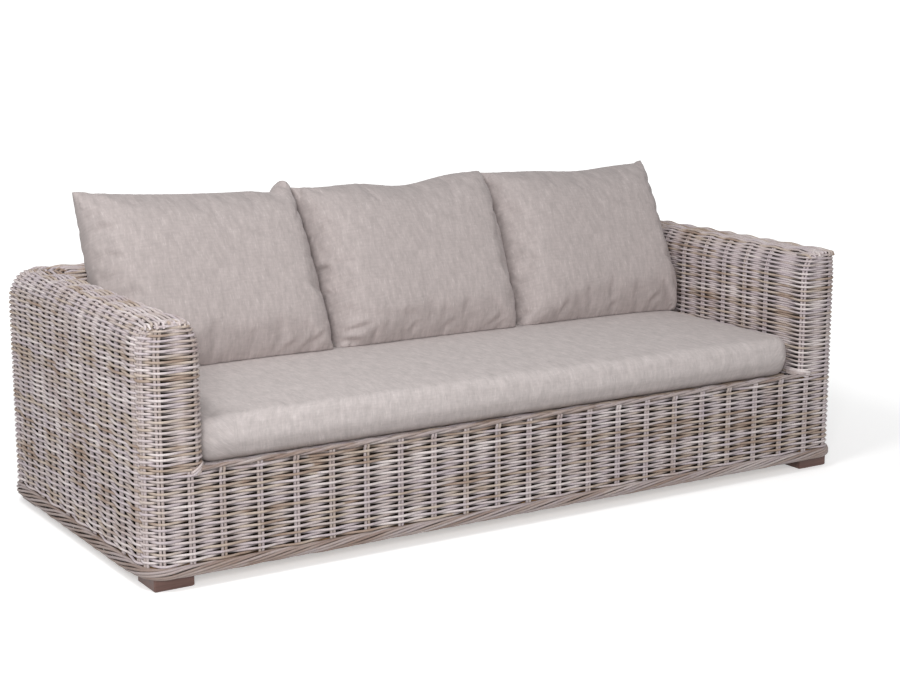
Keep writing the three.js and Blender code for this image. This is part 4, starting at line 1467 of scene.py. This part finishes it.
seat = seat_cushion()
fill_with_air(seat, seat_give, 0.0, 0.0, seat_limits, seat_folds)
loose(seat, "seat_cushion", seat_fill)
for place, (label, (top_line, folds)) in enumerate(pillow_shapes.items(), -1):
    cushion = pillow("back_cushion_linen_" + label, place, top_line)
    fill_with_air(cushion, pillow_give, pillow_slack, pillow_pressure, pillow_limits(place), folds)
    loose(cushion, "back_cushion_" + label, pillow_fill)


# camera, light and floor
focal_pixels = 1773.96
frame_pixels = 900
sensor_width = 36.0
camera_yaw = math.radians(32.196)
camera_pitch = math.radians(11.688)
camera_place = (-2.7309, -4.4092, 1.4775)
lamp_target = (0, 0, 0.4)
# Square lamps, as (name, place, side, power)
lamps = (("key", (-3.8, -5.8, 3.0), 1.9, 233), ("top", (-2.28, -1.18, 3.46), 0.9, 39))
world_light = 0.42
floor_reach = 400.0
floor_tone = 0.62
floor_seen_tone = 0.95
floor_near_glow = 0.43
floor_far_glow = 0.78
floor_near_reach = 1.5
floor_far_reach = 3.5


def add_camera():
    data = bpy.data.cameras.new("camera")
    data.sensor_width = sensor_width
    data.lens = focal_pixels / frame_pixels * sensor_width
    made = bpy.data.objects.new("camera", data)
    made.location = camera_place
    made.rotation_euler = (math.pi / 2 - camera_pitch, 0.0, -camera_yaw)
    bpy.context.scene.collection.objects.link(made)
    bpy.context.scene.camera = made


def add_area(name, place, size, power):
    data = bpy.data.lights.new(name, "AREA")
    data.shape, data.size, data.energy = "SQUARE", size, power
    made = bpy.data.objects.new(name, data)
    made.location = place
    made.rotation_euler = (Vector(lamp_target) - Vector(place)).to_track_quat("-Z", "Y").to_euler()
    bpy.context.scene.collection.objects.link(made)


def seen_directly(tree):
    """1 for a ray from the camera, or one that a mirror or glass sends on, and 0 for light."""
    path = tree.nodes.new("ShaderNodeLightPath")
    total = path.outputs["Is Camera Ray"]
    for label in ("Is Glossy Ray", "Is Transmission Ray"):
        larger = tree.nodes.new("ShaderNodeMath")
        larger.operation = "MAXIMUM"
        tree.links.new(total, larger.inputs[0])
        tree.links.new(path.outputs[label], larger.inputs[1])
        total = larger.outputs[0]
    return total


def add_world():
    world = bpy.data.worlds.new("studio")
    world.use_nodes = True
    bpy.context.scene.world = world
    tree = world.node_tree
    mix = tree.nodes.new("ShaderNodeMixShader")
    tree.links.new(seen_directly(tree), mix.inputs["Fac"])
    sources = tree.nodes["Background"], tree.nodes.new("ShaderNodeBackground")
    for index, (source, strength) in enumerate(zip(sources, (world_light, 1.0)), 1):
        source.inputs["Color"].default_value = grey(1.0)
        source.inputs["Strength"].default_value = strength
        tree.links.new(source.outputs["Background"], mix.inputs[index])
    tree.links.new(mix.outputs["Shader"], tree.nodes["World Output"].inputs["Surface"])


def add_floor():
    corners = [(x * floor_reach, y * floor_reach, 0) for x, y in ((-1, -1), (1, -1), (1, 1), (-1, 1))]
    made = mesh_object("floor", corners, (), [(0, 1, 2, 3)])
    f = Finish("pale_floor", 1.0, Specular_IOR_Level=0.0)
    seen = seen_directly(f.tree)
    f.colour(f.mix(seen, grey(floor_tone), grey(floor_seen_tone)))
    f.shader.inputs["Emission Color"].default_value = grey(1.0)
    distance = f.node("ShaderNodeVectorMath", 1, {"operation": "LENGTH"}, _0=f.place())
    strength = f.node(
        "ShaderNodeMapRange", 0, {"interpolation_type": "SMOOTHSTEP"}, Value=distance,
        _1=floor_near_reach, _2=floor_far_reach, _3=floor_near_glow, _4=floor_far_glow,
    )
    glow = f.math("MULTIPLY", seen, strength)
    f.tree.links.new(glow, f.shader.inputs["Emission Strength"])
    made.data.materials.append(f.material)


add_camera()
add_world()
add_floor()
for lamp in lamps:
    add_area(*lamp)

bpy.context.scene.view_settings.view_transform = "Standard"
